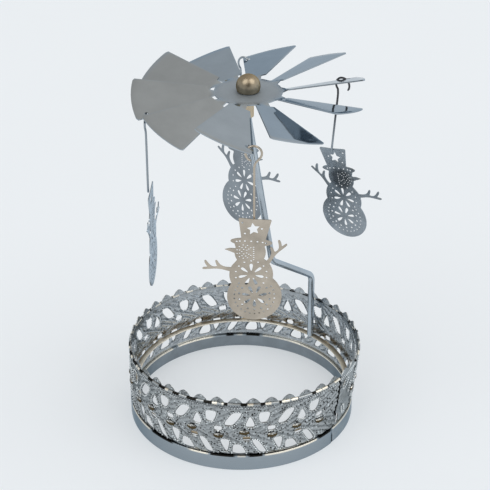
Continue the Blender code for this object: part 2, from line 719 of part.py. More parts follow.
def petals(centre, first):
    """Teardrop openings round a centre, the first in its given direction, narrow ends inwards."""
    length = PETAL_OUTER - PETAL_INNER
    half = PETAL_WIDTH / 2
    waist = PETAL_INNER + PETAL_WAIST_SHARE * length
    shoulder = PETAL_OUTER - PETAL_SHOULDER_SHARE * length
    shape = (
        (PETAL_INNER, 0.0),
        (waist, -PETAL_WAIST_WIDTH_SHARE * half),
        (shoulder, -half),
        (PETAL_OUTER, 0.0),
        (shoulder, half),
        (waist, PETAL_WAIST_WIDTH_SHARE * half),
    )
    loops = []
    for index in range(PETALS):
        turn = Matrix.Rotation(first + FULL_TURN * index / PETALS, 2)
        points = [Vector(centre) + turn @ Vector(point) for point in shape]
        loops.append([(point.x, point.y) for point in points])
    return loops


def build_hangers(collection, rotor):
    """Each hook and its charm share an empty on the loop's axis, about which they swing."""
    loops = [charm_outline(), star()]
    loops += petals(CHEST_CENTRE, CHEST_PETAL_TURN) + petals(BASE_CENTRE, BASE_PETAL_TURN)
    charm_mesh = flat_mesh("snowman", loops, CHARM_SHEET)
    stand_off = HOOK_WIRE_RADIUS + CLEARANCE + CHARM_SHEET / 2
    upright = Matrix.Rotation(math.pi / 2, 4, "X")
    for hanger in HANGERS:
        frame = rotor.matrix_world @ hook_frame(hanger)
        swing = add_axis("swing_axis_" + hanger.name, frame, collection)
        path = hook_points(hanger)
        wire("hook_" + hanger.name, path, HOOK_WIRE_RADIUS, HOOK_BEVEL_STEPS, collection, PLATE_WARM, swing)
        charm = add_part("snowman_" + hanger.name, charm_mesh.copy(), collection, PLATE_WARM, swing)
        place = Matrix.Translation((hanger.offset, -hanger.side * stand_off, -hanger.length))
        pitch = Matrix.Rotation(math.radians(hanger.pitch), 4, "X")
        tilt = Matrix.Rotation(-math.radians(hanger.tilt), 4, "Y")
        charm.matrix_local = place @ pitch @ tilt @ upright
    bpy.data.meshes.remove(charm_mesh)


def main():
    clear_scene()
    spinner = add_collection("jar_candle_spinner")
    cutters = add_collection("cutters")
    build_rim(spinner)
    build_band(spinner)
    build_ledge(spinner)
    build_post(spinner)
    rotor = add_axis("rotor_axis", Matrix.Translation(ROTOR_ORIGIN), spinner)
    build_fan(spinner, cutters, rotor)
    build_hub(spinner, rotor)
    build_hangers(spinner, rotor)


main()
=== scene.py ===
import json
import math

import bmesh
import bpy
import numpy as np
from bpy.props import FloatProperty, FloatVectorProperty, IntProperty, PointerProperty
from mathutils import Matrix, Vector, geometry, kdtree, noise


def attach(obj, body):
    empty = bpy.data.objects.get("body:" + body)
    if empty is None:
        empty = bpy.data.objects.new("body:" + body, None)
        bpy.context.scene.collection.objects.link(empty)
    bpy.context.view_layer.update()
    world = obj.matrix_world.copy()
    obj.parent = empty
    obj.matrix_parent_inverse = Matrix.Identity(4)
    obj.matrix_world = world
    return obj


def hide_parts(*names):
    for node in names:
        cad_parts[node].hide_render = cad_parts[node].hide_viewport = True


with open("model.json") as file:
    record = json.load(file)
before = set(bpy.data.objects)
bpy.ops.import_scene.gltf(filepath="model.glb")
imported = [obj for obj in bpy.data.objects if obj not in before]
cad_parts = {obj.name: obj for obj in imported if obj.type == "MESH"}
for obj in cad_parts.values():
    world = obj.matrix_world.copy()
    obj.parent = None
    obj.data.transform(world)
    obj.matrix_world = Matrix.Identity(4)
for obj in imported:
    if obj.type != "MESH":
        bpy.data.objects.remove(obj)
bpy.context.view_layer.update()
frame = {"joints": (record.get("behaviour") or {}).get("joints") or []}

bl_info = {
    "name": "Jar Candle Spinner",
    "version": (1, 0, 0),
    "blender": (4, 5, 0),
    "location": "3D View > Sidebar > Spinner",
    "description": "Dresses the packed solids of a jar candle spinner and sets it on a pale floor",
    "category": "Object",
}

FULL_TURN = 2 * math.pi
UP = Vector((0.0, 0.0, 1.0))
WELD = 1e-6
JOINTS = {joint["name"]: joint for joint in frame["joints"]}
HUB = Vector(JOINTS["rotor_spin"]["pos_m"])

# One scallop's outline, as shares of its pitch and of its rise
SCALLOP_SHAPE = (
    (0.10, 0.0), (0.15, 0.20), (0.21, 0.44), (0.28, 0.65), (0.36, 0.82), (0.44, 0.94), (0.50, 1.0),
    (0.56, 0.94), (0.64, 0.82), (0.72, 0.65), (0.79, 0.44), (0.85, 0.20), (0.90, 0.0),
)

# Openings of one repeat: place along it, height, width, tallness, lean, taper
PIERCINGS = (
    (0.110, 0.0251, 0.0028, 0.0050, 0.0000, -0.70),
    (0.370, 0.0273, 0.0044, 0.0052, 0.0003, 0.20),
    (0.790, 0.0265, 0.0045, 0.0066, 0.0021, 0.00),
    (0.280, 0.0120, 0.0030, 0.0072, -0.0021, 0.00),
    (0.650, 0.0128, 0.0029, 0.0058, -0.0004, 0.62),
    (0.890, 0.0108, 0.0049, 0.0048, -0.0006, -0.30),
    (0.045, 0.0164, 0.0032, 0.0019, 0.0000, 0.00),
    (0.510, 0.0213, 0.0034, 0.0020, 0.0000, 0.00),
)

# Share of the last repeat that is pierced; the rest, beside the seam, is plain
LAST_PIERCED = 0.56

# Slots in the plain lap: place, height, width, tallness, lean, taper
LAP_SLOTS = (
    (0.0046, 0.0287, 0.0022, 0.0034, 0.0009, 0.0),
    (0.0098, 0.0236, 0.0010, 0.0040, 0.0004, 0.0),
    (0.0052, 0.0142, 0.0012, 0.0036, -0.0006, 0.0),
)

# Round knobs of one repeat: place along it and height
KNOBS = ((0.0, 0.0199), (0.52, 0.0178))

# Pressed ribs: their spacing, and the height where their lean turns
RIB_GAP = 0.0023
MID_HEIGHT = 0.0188

# Pressed lips: distance from an opening and spread; then the spread of the pillows, all in millimetres
LIP_AWAY, LIP_SPREAD, PILLOW_SPREAD = 0.55, 0.36, 1.3

# How much of the pressed height the lips, the pillows and the ribs on them make up
LIP_SHARE, PILLOW_SHARE, RIB_SHARE = 0.60, 0.50, 0.30

# The relief fades out above the rim, from a gap over a reach, and below the rolled line over a reach
FOOT_GAP, FOOT_FADE, TOP_FADE = 0.0002, 0.0012, 0.0014

# Beads: drop of their two rows below the rolled line, distance from an opening, margins at foot and top
BEAD_ROWS = (0.0010, 0.0019)
BEAD_OFFSET = 0.00062
BEAD_FOOT, BEAD_TOP = 0.0006, 0.0024

# How far the rolled line's middle stands out from the sheet
LINE_LIFT = 0.00012

# A dark strip behind the seam, painted as the shadow seen through it: its gap to the band, sheet, margins
# at foot and top, and reach
SHADOW_STRIP_GAP, SHADOW_STRIP_SHEET = 0.00030, 0.00022
SHADOW_STRIP_FOOT, SHADOW_STRIP_TOP = 0.0004, 0.0012
SHADOW_STRIP_REACH = (-0.0007, 0.0026)

# How a repeat's edge steps aside between the openings: height and offset
REPEAT_EDGE = (
    (0.0008, 0.0007), (0.0080, 0.0007), (0.0134, 0.0007), (0.0146, -0.0014), (0.0180, -0.0014),
    (0.0196, -0.0004), (0.0290, -0.0002), (0.0346, 0.0),
)

# Painted light on the rim's rolled lip, from painted shade (0) to a painted highlight (1): degrees round
# from the front where a stretch ends, and its tone
LIP_PAINTED_LIGHT = (
    (-150, 0.9), (-128, 0.1), (-100, 0.8), (-76, 0.5), (-52, 0.9), (-36, 0.05), (-26, 0.6), (-16, 1.0),
    (-3, 0.0), (3, 0.8), (11, 0.0), (41, 1.0), (52, 0.05), (90, 0.86), (100, 0.4), (125, 0.9), (150, 0.4),
    (181, 0.8),
)

# Painted light on the rim's inner lip, in the same way
INNER_PAINTED_LIGHT = (
    (-176, 0.8), (-171, 0.05), (-163, 0.6), (-141, 1.0), (-138, 0.2), (-100, 0.9), (-40, 0.5), (40, 0.6),
    (100, 0.6), (150, 0.9), (169, 0.8), (178, 0.05), (181, 0.8),
)

# Blade pitch and rise in degrees, one for each hand-bent blade, counter-clockwise from the right
BLADE_PITCH = (20, 22, 18, 14, 19, 20, 17, 21, 17, 16)
BLADE_RISE = (6, 6, -1, -3, 1, -2, -8, -3, -5, 2)
BLADES = len(BLADE_PITCH)

# A blade's mesh: columns from edge to edge, the row where its neck ends and the row at its tip
BLADE_COLUMNS = [-1.0, -0.9, -0.7, -0.45, -0.2, 0.0, 0.2, 0.45, 0.7, 0.9, 1.0]
NECK_ROW, TIP_ROW = 3, 16

# How far a blade's corners are drawn back, and from which share of its half width
CORNER_CUT, CORNER_START = 0.00055, 0.9

# Radii of the hub disc's rings between its hole and its edge
HUB_RINGS = (0.0035, 0.0065, 0.0095, 0.0122)

# The sleeve: its rounded edge, and the depth of its blind cup at the edge and in the middle
SLEEVE_EASE, CUP_EDGE, CUP_MIDDLE = 0.00022, 0.0022, 0.0010

# Hangers: blade, lean of the wire, stem's offset, length to the hat, side of the charm, its tilt and pitch
HANGERS = {
    "right": (0, 5.0, 0.0017, 0.0322, 1, -10.6, -10.5),
    "back": (2, 2.0, 0.0017, 0.0314, 1, -6.4, 4.4),
    "left": (5, 0.0, 0.0010, 0.0302, -1, -6.0, -1.0),
    "front": (7, 0.0, 0.0002, 0.0296, 1, 0.0, 0.0),
}

# Hooks whose loop is painted dark as shade: its tone, and how many loop radii it reaches down
SHADED_HOOK_LOOPS = {"right": (0.0, 3.3), "left": (0.24, -0.3)}

# How far a hook's loop hangs below its hinge
LOW_LOOPS = {"right": 0.00085, "front": 0.0014}

# Where a low loop has worn its hole longer, along and across the blade from the hole's middle
WORN_HOLES = {"right": (-0.00068, 0.00064)}

# Length of stem over which a hook's kink eases out, and the smallest share of radius at a wire's tip
KINK_EASE = 0.004
TIP_SHARE = 0.06

# A twig arm's outline from its upper root to its lower root, as shares of its length
TWIG_SHAPE = (
    (0.16, 0.085), (0.28, 0.12), (0.39, 0.20), (0.47, 0.34), (0.51, 0.36), (0.55, 0.32), (0.50, 0.18),
    (0.46, 0.105), (0.56, 0.080), (0.66, 0.10), (0.77, 0.20), (0.86, 0.33), (0.90, 0.35), (0.94, 0.30),
    (0.87, 0.16), (0.79, 0.070), (0.96, 0.055), (1.00, 0.02), (0.97, -0.025), (0.74, -0.005), (0.51, 0.02),
    (0.30, -0.005),
)


def size(name, description, default):
    return FloatProperty(name=name, description=description, default=default, unit="LENGTH", precision=5)


def turn(name, description, degrees):
    return FloatProperty(
        name=name, description=description, default=math.radians(degrees), subtype="ANGLE"
    )


def count(name, description, default):
    return IntProperty(name=name, description=description, default=default, min=1)


def share(name, description, default):
    return FloatProperty(
        name=name, description=description, default=default, min=0.0, max=1.0, subtype="FACTOR"
    )


def number(name, description, default):
    return FloatProperty(name=name, description=description, default=default, min=0.0)


def colour(name, description, default):
    return FloatVectorProperty(
        name=name, description=description, default=default, size=3, min=0.0, subtype="COLOR"
    )


class CollarSettings(bpy.types.PropertyGroup):
    """Sizes of the rim, the band, the ledge and the post"""

    rim_radius: size("Rim Radius", "Outside radius of the rim", 0.0510)
    rim_sheet: size("Rim Sheet", "Thickness of the rim's sheet", 0.0005)
    rim_height: size("Rim Height", "Height of the rim's outer wall", 0.0076)
    rim_inner_height: size("Rim Inner Height", "Height of the rim's inner wall", 0.0065)
    rim_inner_radius: size("Rim Inner Radius", "Inside radius of the rim", 0.0488)
    rim_seam: turn("Rim Seam", "Direction of the rim's lapped end", -37.8)
    rim_lap: size("Rim Lap", "Step at the rim's lapped end", 0.00016)
    band_radius: size("Band Radius", "Radius of the middle of the band's sheet", 0.0499)
    band_sheet: size("Band Sheet", "Thickness of the band's sheet", 0.0006)
    band_gauge: size("Band Gauge", "Thickness of the pressed sheet between its two faces", 0.00036)
    band_top: size("Band Top", "Height of the valleys between the scallops", 0.0346)
    scallop_rise: size("Scallop Rise", "Height of a scallop", 0.0026)
    repeats: count("Repeats", "Repeats of the pierced pattern", 13)
    scallops: count("Scallops", "Scallops in one repeat", 3)
    lap: size("Lap", "Length of the plain lap beside the seam", 0.0146)
    lap_scallops: count("Lap Scallops", "Scallops on the lap", 2)
    seam_gap: size("Seam Gap", "Width of the open seam", 0.0008)
    seam_cut: size("Seam Cut", "How far the lap's torn edge stands back from the seam", 0.0012)
    seam: turn("Seam", "Direction of the open seam", -35.5)
    flare: size("Flare", "How far the band's top springs outwards", 0.0030)
    flare_side: turn("Flare Side", "Direction in which the band springs outwards", -15.0)
    emboss: size("Emboss", "Height of the pressed relief", 0.00085)
    mesh_step: size("Mesh Step", "Spacing of the band's mesh", 0.00052)
    bead_radius: size("Bead Radius", "Radius of a pressed bead", 0.00036)
    bead_gap: size("Bead Gap", "Spacing of the pressed beads", 0.00115)
    knob_radius: size("Knob Radius", "Half of a knob's height", 0.00125)
    knob_stretch: number("Knob Stretch", "Width of a knob over its height", 1.8)
    knob_swell: number("Knob Swell", "How far a knob stands out over its height", 0.6)
    cord_radius: size("Cord Radius", "Radius of the rolled line below the scallops", 0.00066)
    cord_height: size("Cord Height", "Height of the rolled line", 0.0341)
    ledge_radius: size("Ledge Radius", "Outside radius of the ledge", 0.0493)
    ledge_width: size("Ledge Width", "Width of the ledge", 0.0026)
    ledge_sheet: size("Ledge Sheet", "Thickness of the ledge", 0.0006)
    ledge_top: size("Ledge Top", "Height of the ledge's top", 0.0156)
    post_radius: size("Post Radius", "Radius of the post's wire", 0.0015)
    post_foot: size("Post Foot", "Height of the post's foot", 0.0159)
    post_foot_radius: size("Post Foot Radius", "Distance of the foot from the axis", 0.0470)
    post_side: turn("Post Side", "Direction of the post's foot", 45.5)
    post_leg: size("Post Leg", "Height of the leg's top", 0.0488)
    post_reach: size("Post Reach", "Distance of the elbow from the hub's axis", 0.0160)
    post_elbow: size("Post Elbow", "Height of the elbow", 0.0689)
    post_bend: size("Post Bend", "Radius of the lower bends", 0.0055)
    post_top_bend: size("Post Top Bend", "Radius of the bend below the sleeve", 0.0100)
    post_straight: size("Post Straight", "Height where the post turns upright", 0.14345)
    post_tip: size("Post Tip", "Height of the post's point", 0.15415)
    post_taper: size("Post Taper", "Length of the ground point", 0.0030)


class RotorSettings(bpy.types.PropertyGroup):
    """Sizes of the fan, the ball and the sleeve"""

    sheet: size("Sheet", "Thickness of the fan's sheet", 0.0005)
    radius: size("Radius", "Reach of the blades", 0.0485)
    hub_radius: size("Hub Radius", "Radius of the hub's disc", 0.0143)
    hub_hole: size("Hub Hole", "Radius of the hole in the disc", 0.0016)
    neck_width: size("Neck Width", "Width of a blade's neck", 0.0048)
    neck_length: size("Neck Length", "Length of a blade's neck", 0.0021)
    shoulder: size("Shoulder", "Depth of a blade's shoulder", 0.0006)
    half_angle: turn("Half Angle", "Half of the angle that a blade spans", 15.0)
    phase: turn("Phase", "Direction of the first blade", 6.2)
    ripple: size("Ripple", "Unevenness of the hand-bent sheet", 0.00003)
    ball_radius: size("Ball Radius", "Radius of the ball", 0.0051)
    ball_lift: size("Ball Lift", "Height of the ball's middle above the fan", 0.0026)
    sleeve_radius: size("Sleeve Radius", "Outside radius of the sleeve", 0.00235)
    bore_radius: size("Bore Radius", "Radius of the sleeve's bore", 0.00185)
    sleeve_length: size("Sleeve Length", "Length of the sleeve", 0.0105)
    seat_gap: size("Seat Gap", "Gap between the fan and what seats on it", 0.0003)


class HangerSettings(bpy.types.PropertyGroup):
    """Sizes of the hooks and the charms"""

    wire: size("Wire", "Radius of a hook's wire", 0.00045)
    loop: size("Loop", "Radius of a hook's loop", 0.0032)
    loop_open: turn("Loop Open", "Direction of the loop's open end", 215.0)
    loop_shut: turn("Loop Shut", "Direction of the open end on the front hook, bent almost shut", 255.0)
    loop_close: turn("Loop Close", "Direction where the loop meets the stem", -50.0)
    kink: size("Kink", "Drop of the kink below the loop", 0.0015)
    lap: size("Lap", "Length of wire behind the hat", 0.0015)
    stand_off: size("Stand Off", "Distance of the charm's middle from the wire's", 0.00105)
    hole: size("Hole", "Radius of a hook's hole in its blade", 0.0014)
    tight_hole: size("Tight Hole", "Radius of the left hook's hole, which its wire fills", 0.00085)
    worn_hole: size("Worn Hole", "Radius of a hole's worn end", 0.0011)
    hole_inset: size("Hole Inset", "Distance of the hole's middle from the blade's edge", 0.0021)
    reach: size("Reach", "Distance of the hole's corner from the hub", 0.0438)
    sheet: size("Sheet", "Thickness of a charm", 0.00040)
    petals: count("Petals", "Petals in a flower", 7)
    petal_start: size("Petal Start", "Distance of a petal's narrow end from the middle", 0.0016)
    petal_end: size("Petal End", "Distance of a petal's round end from the middle", 0.0052)
    petal_width: size("Petal Width", "Width of a petal", 0.0018)
    star: size("Star", "Radius of the hat's star", 0.0029)


class FinishSettings(bpy.types.PropertyGroup):
    """Colours of the plating"""

    nickel: colour("Nickel", "Cool bright plate of the fan and the post", (0.375, 0.420, 0.460))
    rim: colour("Rim", "Plate of the rim", (0.325, 0.371, 0.407))
    pressed: colour("Pressed", "Plate on the band's high places", (0.405, 0.430, 0.440))
    lining: colour("Lining", "Plate on the band's inner side", (0.54, 0.58, 0.61))
    # Darkening in the band's hollows: patina with painted shade; a darker copy also paints the seam's
    # shadow strip
    patina_and_shade: colour("Aged", "Plate in the hollows of the band", (0.14, 0.148, 0.155))
    # Painted shade: black of the small pits, of the dark stretches on the lips and the rolled line, and of
    # the rim's seam
    painted_shade_black: colour("Black", "Tarnish in pits and behind the seam", (0.020, 0.019, 0.017))
    # Colour of the painted highlights at the bright end of every painted_light tone
    painted_light: colour("Gleam", "Worn bright edges", (0.98, 0.92, 0.80))
    champagne: colour("Champagne", "Warm plate of the ball and the sleeve", (0.52, 0.44, 0.32))
    beige: colour("Beige", "Warm plate of the front charm", (0.495, 0.437, 0.365))
    # Painted brown shade and dark reflection: the lower half of each knob and the zone on the lining above
    # the ledge
    knob: colour("Knob", "Tarnish on the knobs", (0.095, 0.070, 0.036))
    # Painted shade on the loops of two hooks
    painted_wire_shade: colour("Dark Wire", "Darkened wire of a hook", (0.07, 0.07, 0.075))


class StageSettings(bpy.types.PropertyGroup):
    """Floor, light and camera"""

    floor: colour("Floor", "Colour of the floor", (0.84, 0.885, 0.935))
    backdrop: colour("Backdrop", "Colour towards which the floor is lifted", (0.805, 0.847, 0.880))
    lift: share("Lift", "How far the floor is lifted", 0.5)
    horizon: colour("Horizon", "Light from the sides", (0.685, 0.725, 0.765))
    overhead: colour("Overhead", "Light from above", (0.64, 0.60, 0.55))
    shade: colour("Shade", "The dark room behind the camera", (0.16, 0.15, 0.14))
    key: number("Key", "Strength of the left light", 0.70)
    fill: number("Fill", "Strength of the right light", 0.60)
    spread: turn("Spread", "Angle that each light fills, which softens its shadow", 45.0)
    lens: FloatProperty(name="Lens", description="Focal length of the camera", default=108.5, unit="CAMERA")
    eye: FloatVectorProperty(
        name="Eye", description="Place of the camera", default=(0.0014, -0.5651, 0.3960), unit="LENGTH"
    )
    dip: turn("Dip", "How far the camera looks down", 28.94)
    swing: turn("Swing", "How far the camera looks to the right", 0.04)
    roll: turn("Roll", "How far the camera leans", -0.15)


def settings(group):
    return getattr(bpy.context.scene, "spinner_" + group)


def link(name, mesh):
    obj = bpy.data.objects.new(name, mesh)
    bpy.context.scene.collection.objects.link(obj)
    return obj


def new_mesh(name, verts, edges=(), faces=()):
    mesh = bpy.data.meshes.new(name)
    mesh.from_pydata(verts, edges, faces)
    return mesh


def mesh_from(bm, name):
    """A new mesh from a bmesh, which is freed."""
    mesh = bpy.data.meshes.new(name)
    bm.to_mesh(mesh)
    bm.free()
    return mesh


def plain(maker, name):
    """The evaluated shape of a maker object as a new plain object, without the maker."""
    graph = bpy.context.evaluated_depsgraph_get()
    mesh = bpy.data.meshes.new_from_object(
        maker.evaluated_get(graph), preserve_all_data_layers=True, depsgraph=graph
    )
    bpy.data.objects.remove(maker)
    mesh.name = name
    return link(name, mesh)


def smooth(mesh, degrees=35.0):
    mesh.shade_smooth()
    mesh.set_sharp_from_angle(angle=math.radians(degrees))


def face_outwards(mesh):
    bm = bmesh.new()
    bm.from_mesh(mesh)
    bmesh.ops.remove_doubles(bm, verts=bm.verts, dist=WELD)
    bmesh.ops.recalc_face_normals(bm, faces=bm.faces)
    bm.to_mesh(mesh)
    bm.free()


def wear(obj, body, slot, *nodes):
    """Puts a finished piece on its body, in place of the plain solids that it stands for."""
    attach(obj, body)
    if nodes:
        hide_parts(*nodes)
    return obj


def eased(profile, radius, steps=4):
    """A closed profile with each corner rounded off."""
    points = []
    for index, corner in enumerate(profile):
        corner = Vector(corner)
        before = Vector(profile[index - 1]) - corner
        after = Vector(profile[(index + 1) % len(profile)]) - corner
        reach = min(radius, 0.45 * before.length, 0.45 * after.length)
        start = corner + before.normalized() * reach
        end = corner + after.normalized() * reach
        for step in range(steps + 1):
            t = step / steps
            points.append(tuple(start * (1 - t) ** 2 + corner * 2 * t * (1 - t) + end * t * t))
    return points


def lathe(name, profile, angles, centre=(0.0, 0.0), swell=None):
    """A closed (radius, height) profile run round an upright axis through the angles."""
    rings = len(angles)
    rows = len(profile)
    verts = []
    for angle in angles:
        for radius, height in profile:
            reach = radius + (swell(angle, radius) if swell else 0.0)
            verts.append((*on_circle(centre, reach, angle), height))
    faces = []
    for ring in range(rings):
        here = ring * rows
        there = (ring + 1) % rings * rows
        for row in range(rows):
            following = (row + 1) % rows
            faces.append((here + row, there + row, there + following, here + following))
    mesh = new_mesh(name, verts, faces=faces)
    face_outwards(mesh)
    smooth(mesh)
    return link(name, mesh)


def round_angles(steps):
    return [FULL_TURN * step / steps for step in range(steps)]


def round_tips(points, radius, steps=4):
    """Extra points and radius shares that round off both ends of a wire."""
    path = [Vector(point) for point in points]
    shares = [1.0] * len(path)
    for end, inner in ((0, 1), (-1, -2)):
        along = (path[end] - path[inner]).normalized()
        tip = path[end].copy()
        path[end] = tip - along * radius
        for step in range(1, steps + 1):
            angle = math.pi / 2 * step / steps
            place = 0 if end == 0 else len(path)
            path.insert(place, tip - along * radius * (1 - math.sin(angle)))
            shares.insert(place, max(TIP_SHARE, math.cos(angle)))
    return path, shares


def sweep(name, points, radius, shares=None, bevel=4):
    """A round wire along the points, as a plain mesh."""
    curve = bpy.data.curves.new(name, "CURVE")
    curve.dimensions = "3D"
    curve.bevel_depth = radius
    curve.bevel_resolution = bevel
    curve.use_fill_caps = True
    spline = curve.splines.new("POLY")
    spline.points.add(len(points) - 1)
    for index, place in enumerate(points):
        spline.points[index].co = (*place, 1.0)
        spline.points[index].radius = shares[index] if shares else 1.0
    spline.use_smooth = True
    obj = plain(link(name, curve), name)
    bpy.data.curves.remove(curve)
    face_outwards(obj.data)
    smooth(obj.data, 60.0)
    return obj


def on_circle(centre, radius, angle):
    return (centre[0] + radius * math.cos(angle), centre[1] + radius * math.sin(angle))


def arc(centre, radius, start, end, number):
    angles = [start + (end - start) * step / (number - 1) for step in range(number)]
    return [on_circle(centre, radius, angle) for angle in angles]


def bent(corners, radii, steps=14):
    """A path through the corners, with an arc of the given radius at each inner one."""
    path = [corners[0]]
    for before, corner, after, radius in zip(corners, corners[1:], corners[2:], radii):
        inward = (before - corner).normalized()
        outward = (after - corner).normalized()
        half = inward.angle(outward) / 2
        centre = corner + (inward + outward).normalized() * (radius / math.sin(half))
        start = corner + inward * (radius / math.tan(half)) - centre
        end = corner + outward * (radius / math.tan(half)) - centre
        axis, angle = start.rotation_difference(end).to_axis_angle()
        for step in range(steps + 1):
            path.append(centre + Matrix.Rotation(angle * step / steps, 3, axis) @ start)
    path.append(corners[-1])
    return path


def cut_corners(points, rounds):
    """Cuts each corner of an open line at a quarter of its sides, which softens it."""
    for _ in range(rounds):
        softer = [points[0]]
        for a, b in zip(points, points[1:]):
            a, b = Vector(a), Vector(b)
            softer += [tuple(a * 0.75 + b * 0.25), tuple(a * 0.25 + b * 0.75)]
        points = softer + [points[-1]]
    return points


class Graph:
    """A node tree under construction: makes nodes, fills their sockets and links them."""

    def __init__(self, tree):
        self.tree = tree

    def add(self, kind, *args, output=0, **options):
        """A node whose inputs are given in order; options set its properties and named inputs."""
        node = self.tree.nodes.new(kind)
        named = {}
        for key, value in options.items():
            if hasattr(node, key):
                setattr(node, key, value)
            else:
                named[key.replace("_", " ")] = value
        for index, value in enumerate(args):
            self.fill(node.inputs[index], value)
        for key, value in named.items():
            self.fill(node.inputs[key], value)
        return node.outputs[output]

    def fill(self, socket, value):
        if value is None:
            return
        if isinstance(value, bpy.types.NodeSocket):
            self.tree.links.new(value, socket)
        else:
            socket.default_value = value

    def math(self, operation, a, b=None):
        return self.add("ShaderNodeMath", a, b, operation=operation)

    def span(self, value, *limits):
        """A value carried over from one range to another: low and high before, low and high after."""
        return self.add("ShaderNodeMapRange", value, *limits)

    def away(self, place, middle):
        return self.add("ShaderNodeVectorMath", place, middle, operation="DISTANCE", output="Value")

    def shape_of(self, socket):
        """The geometry of the object that a socket names."""
        return self.add("GeometryNodeObjectInfo", socket, output="Geometry")

    def scatter(self, points, instance, **options):
        return self.add("GeometryNodeInstanceOnPoints", points, Instance=instance, **options)

    def realised(self, shape):
        return self.add("GeometryNodeRealizeInstances", shape)

    def joined(self, *parts):
        node = self.tree.nodes.new("GeometryNodeJoinGeometry")
        for part in parts:
            self.tree.links.new(part, node.inputs[0])
        return node.outputs[0]


def node_group(name, sockets):
    """A geometry tree with named inputs and a material, its builder, and the inputs' outlets by name."""
    tree = bpy.data.node_groups.new(name, "GeometryNodeTree")
    tree.interface.new_socket(name="Geometry", in_out="OUTPUT", socket_type="NodeSocketGeometry")
    sockets = {**sockets, "Material": "Material"}
    for label, kind in sockets.items():
        tree.interface.new_socket(name=label, in_out="INPUT", socket_type="NodeSocket" + kind)
    source = tree.nodes.new("NodeGroupInput")
    inputs = {label: source.outputs[label] for label in sockets}
    return tree, Graph(tree), inputs


def run_nodes(name, mesh, tree, values, after=None):
    """Runs a tree on a mesh and returns the result as a plain object."""
    maker = link(name + "_maker", mesh)
    modifier = maker.modifiers.new("make", "NODES")
    modifier.node_group = tree
    for item in tree.interface.items_tree:
        if item.in_out == "INPUT" and item.name in values:
            modifier[item.identifier] = values[item.name]
    if after:
        after(maker)
    obj = plain(maker, name)
    obj.data.materials.clear()
    obj.data.materials.append(values["Material"])
    obj.data.polygons.foreach_set("material_index", [0] * len(obj.data.polygons))
    return obj


ROLL_SOCKETS = dict.fromkeys(("Radius", "Seam", "Seam Gap", "Foot", "Top", "Flare", "Flare Side"), "Float")
REPEAT_SOCKETS = {"Lap": "Float", "Repeat Length": "Float", "Repeats": "Int"}


def roll_values():
    collar = settings("collar")
    return {
        "Radius": collar.band_radius,
        "Seam": collar.seam,
        "Seam Gap": collar.seam_gap,
        "Foot": collar.rim_height,
        "Top": collar.band_top,
        "Flare": collar.flare,
        "Flare Side": collar.flare_side,
    }


def roll_up(graph, sockets, flat):
    """Rolls a flat strip round the Z axis: X runs round it, Y goes up and Z outwards."""
    x, y, z = graph.tree.nodes.new("ShaderNodeSeparateXYZ").outputs
    graph.fill(x.node.inputs[0], graph.add("GeometryNodeInputPosition"))
    half_gap = graph.math("MULTIPLY", sockets["Seam Gap"], 0.5)
    along = graph.math("DIVIDE", graph.math("ADD", x, half_gap), sockets["Radius"])
    angle = graph.math("ADD", along, sockets["Seam"])
    rise = graph.math("MAXIMUM", graph.math("SUBTRACT", y, sockets["Foot"]), 0.0)
    tallness = graph.math("SUBTRACT", sockets["Top"], sockets["Foot"])
    lift = graph.math("DIVIDE", rise, tallness)
    facing = graph.math("COSINE", graph.math("SUBTRACT", angle, sockets["Flare Side"]))
    near = graph.math("POWER", graph.math("MAXIMUM", facing, 0.0), 2.0)
    spring = graph.math("MULTIPLY", graph.math("MULTIPLY", near, lift), sockets["Flare"])
    reach = graph.math("ADD", graph.math("ADD", sockets["Radius"], z), spring)
    px = graph.math("MULTIPLY", reach, graph.math("COSINE", angle))
    py = graph.math("MULTIPLY", reach, graph.math("SINE", angle))
    place = graph.add("ShaderNodeCombineXYZ", px, py, y)
    return graph.add("GeometryNodeSetPosition", flat, Position=place)


def repeat_line(graph, sockets):
    """Points along the flat strip, one at the start of each repeat."""
    start = graph.add("ShaderNodeCombineXYZ", sockets["Lap"], 0.0, 0.0)
    step = graph.add("ShaderNodeCombineXYZ", sockets["Repeat Length"], 0.0, 0.0)
    return graph.add("GeometryNodeMeshLine", Count=sockets["Repeats"], Start_Location=start, Offset=step)


def finish_group(graph, sockets, shape):
    dressed = graph.add("GeometryNodeSetMaterial", graph.realised(shape), Material=sockets["Material"])
    sink = graph.tree.nodes.new("NodeGroupOutput")
    graph.tree.links.new(dressed, sink.inputs[0])


def band_tree():
    """Sets repeats of the flat pattern in a row, joins the plain ends to them and rolls them up."""
    parts = {"Pattern": "Geometry", "Plain Lap": "Object", "Plain End": "Object"}
    tree, graph, sockets = node_group("Rolled Band", {**parts, **REPEAT_SOCKETS, **ROLL_SOCKETS})
    row = graph.realised(graph.scatter(repeat_line(graph, sockets), sockets["Pattern"]))
    ends = [graph.shape_of(sockets[part]) for part in ("Plain Lap", "Plain End")]
    welded = graph.add("GeometryNodeMergeByDistance", graph.joined(row, *ends), Distance=2 * WELD)
    finish_group(graph, sockets, roll_up(graph, sockets, welded))
    return tree


def bead_tree():
    """Sets a small dome on each marked point of every repeat and rolls them up."""
    parts = {"Marks": "Geometry", "Dome": "Object"}
    tree, graph, sockets = node_group("Pressed Beads", {**parts, **REPEAT_SOCKETS, **ROLL_SOCKETS})
    marks = graph.realised(graph.scatter(repeat_line(graph, sockets), sockets["Marks"]))
    radius = graph.add("GeometryNodeInputNamedAttribute", "radius")
    domes = graph.scatter(marks, graph.shape_of(sockets["Dome"]), Scale=radius)
    finish_group(graph, sockets, roll_up(graph, sockets, graph.realised(domes)))
    return tree


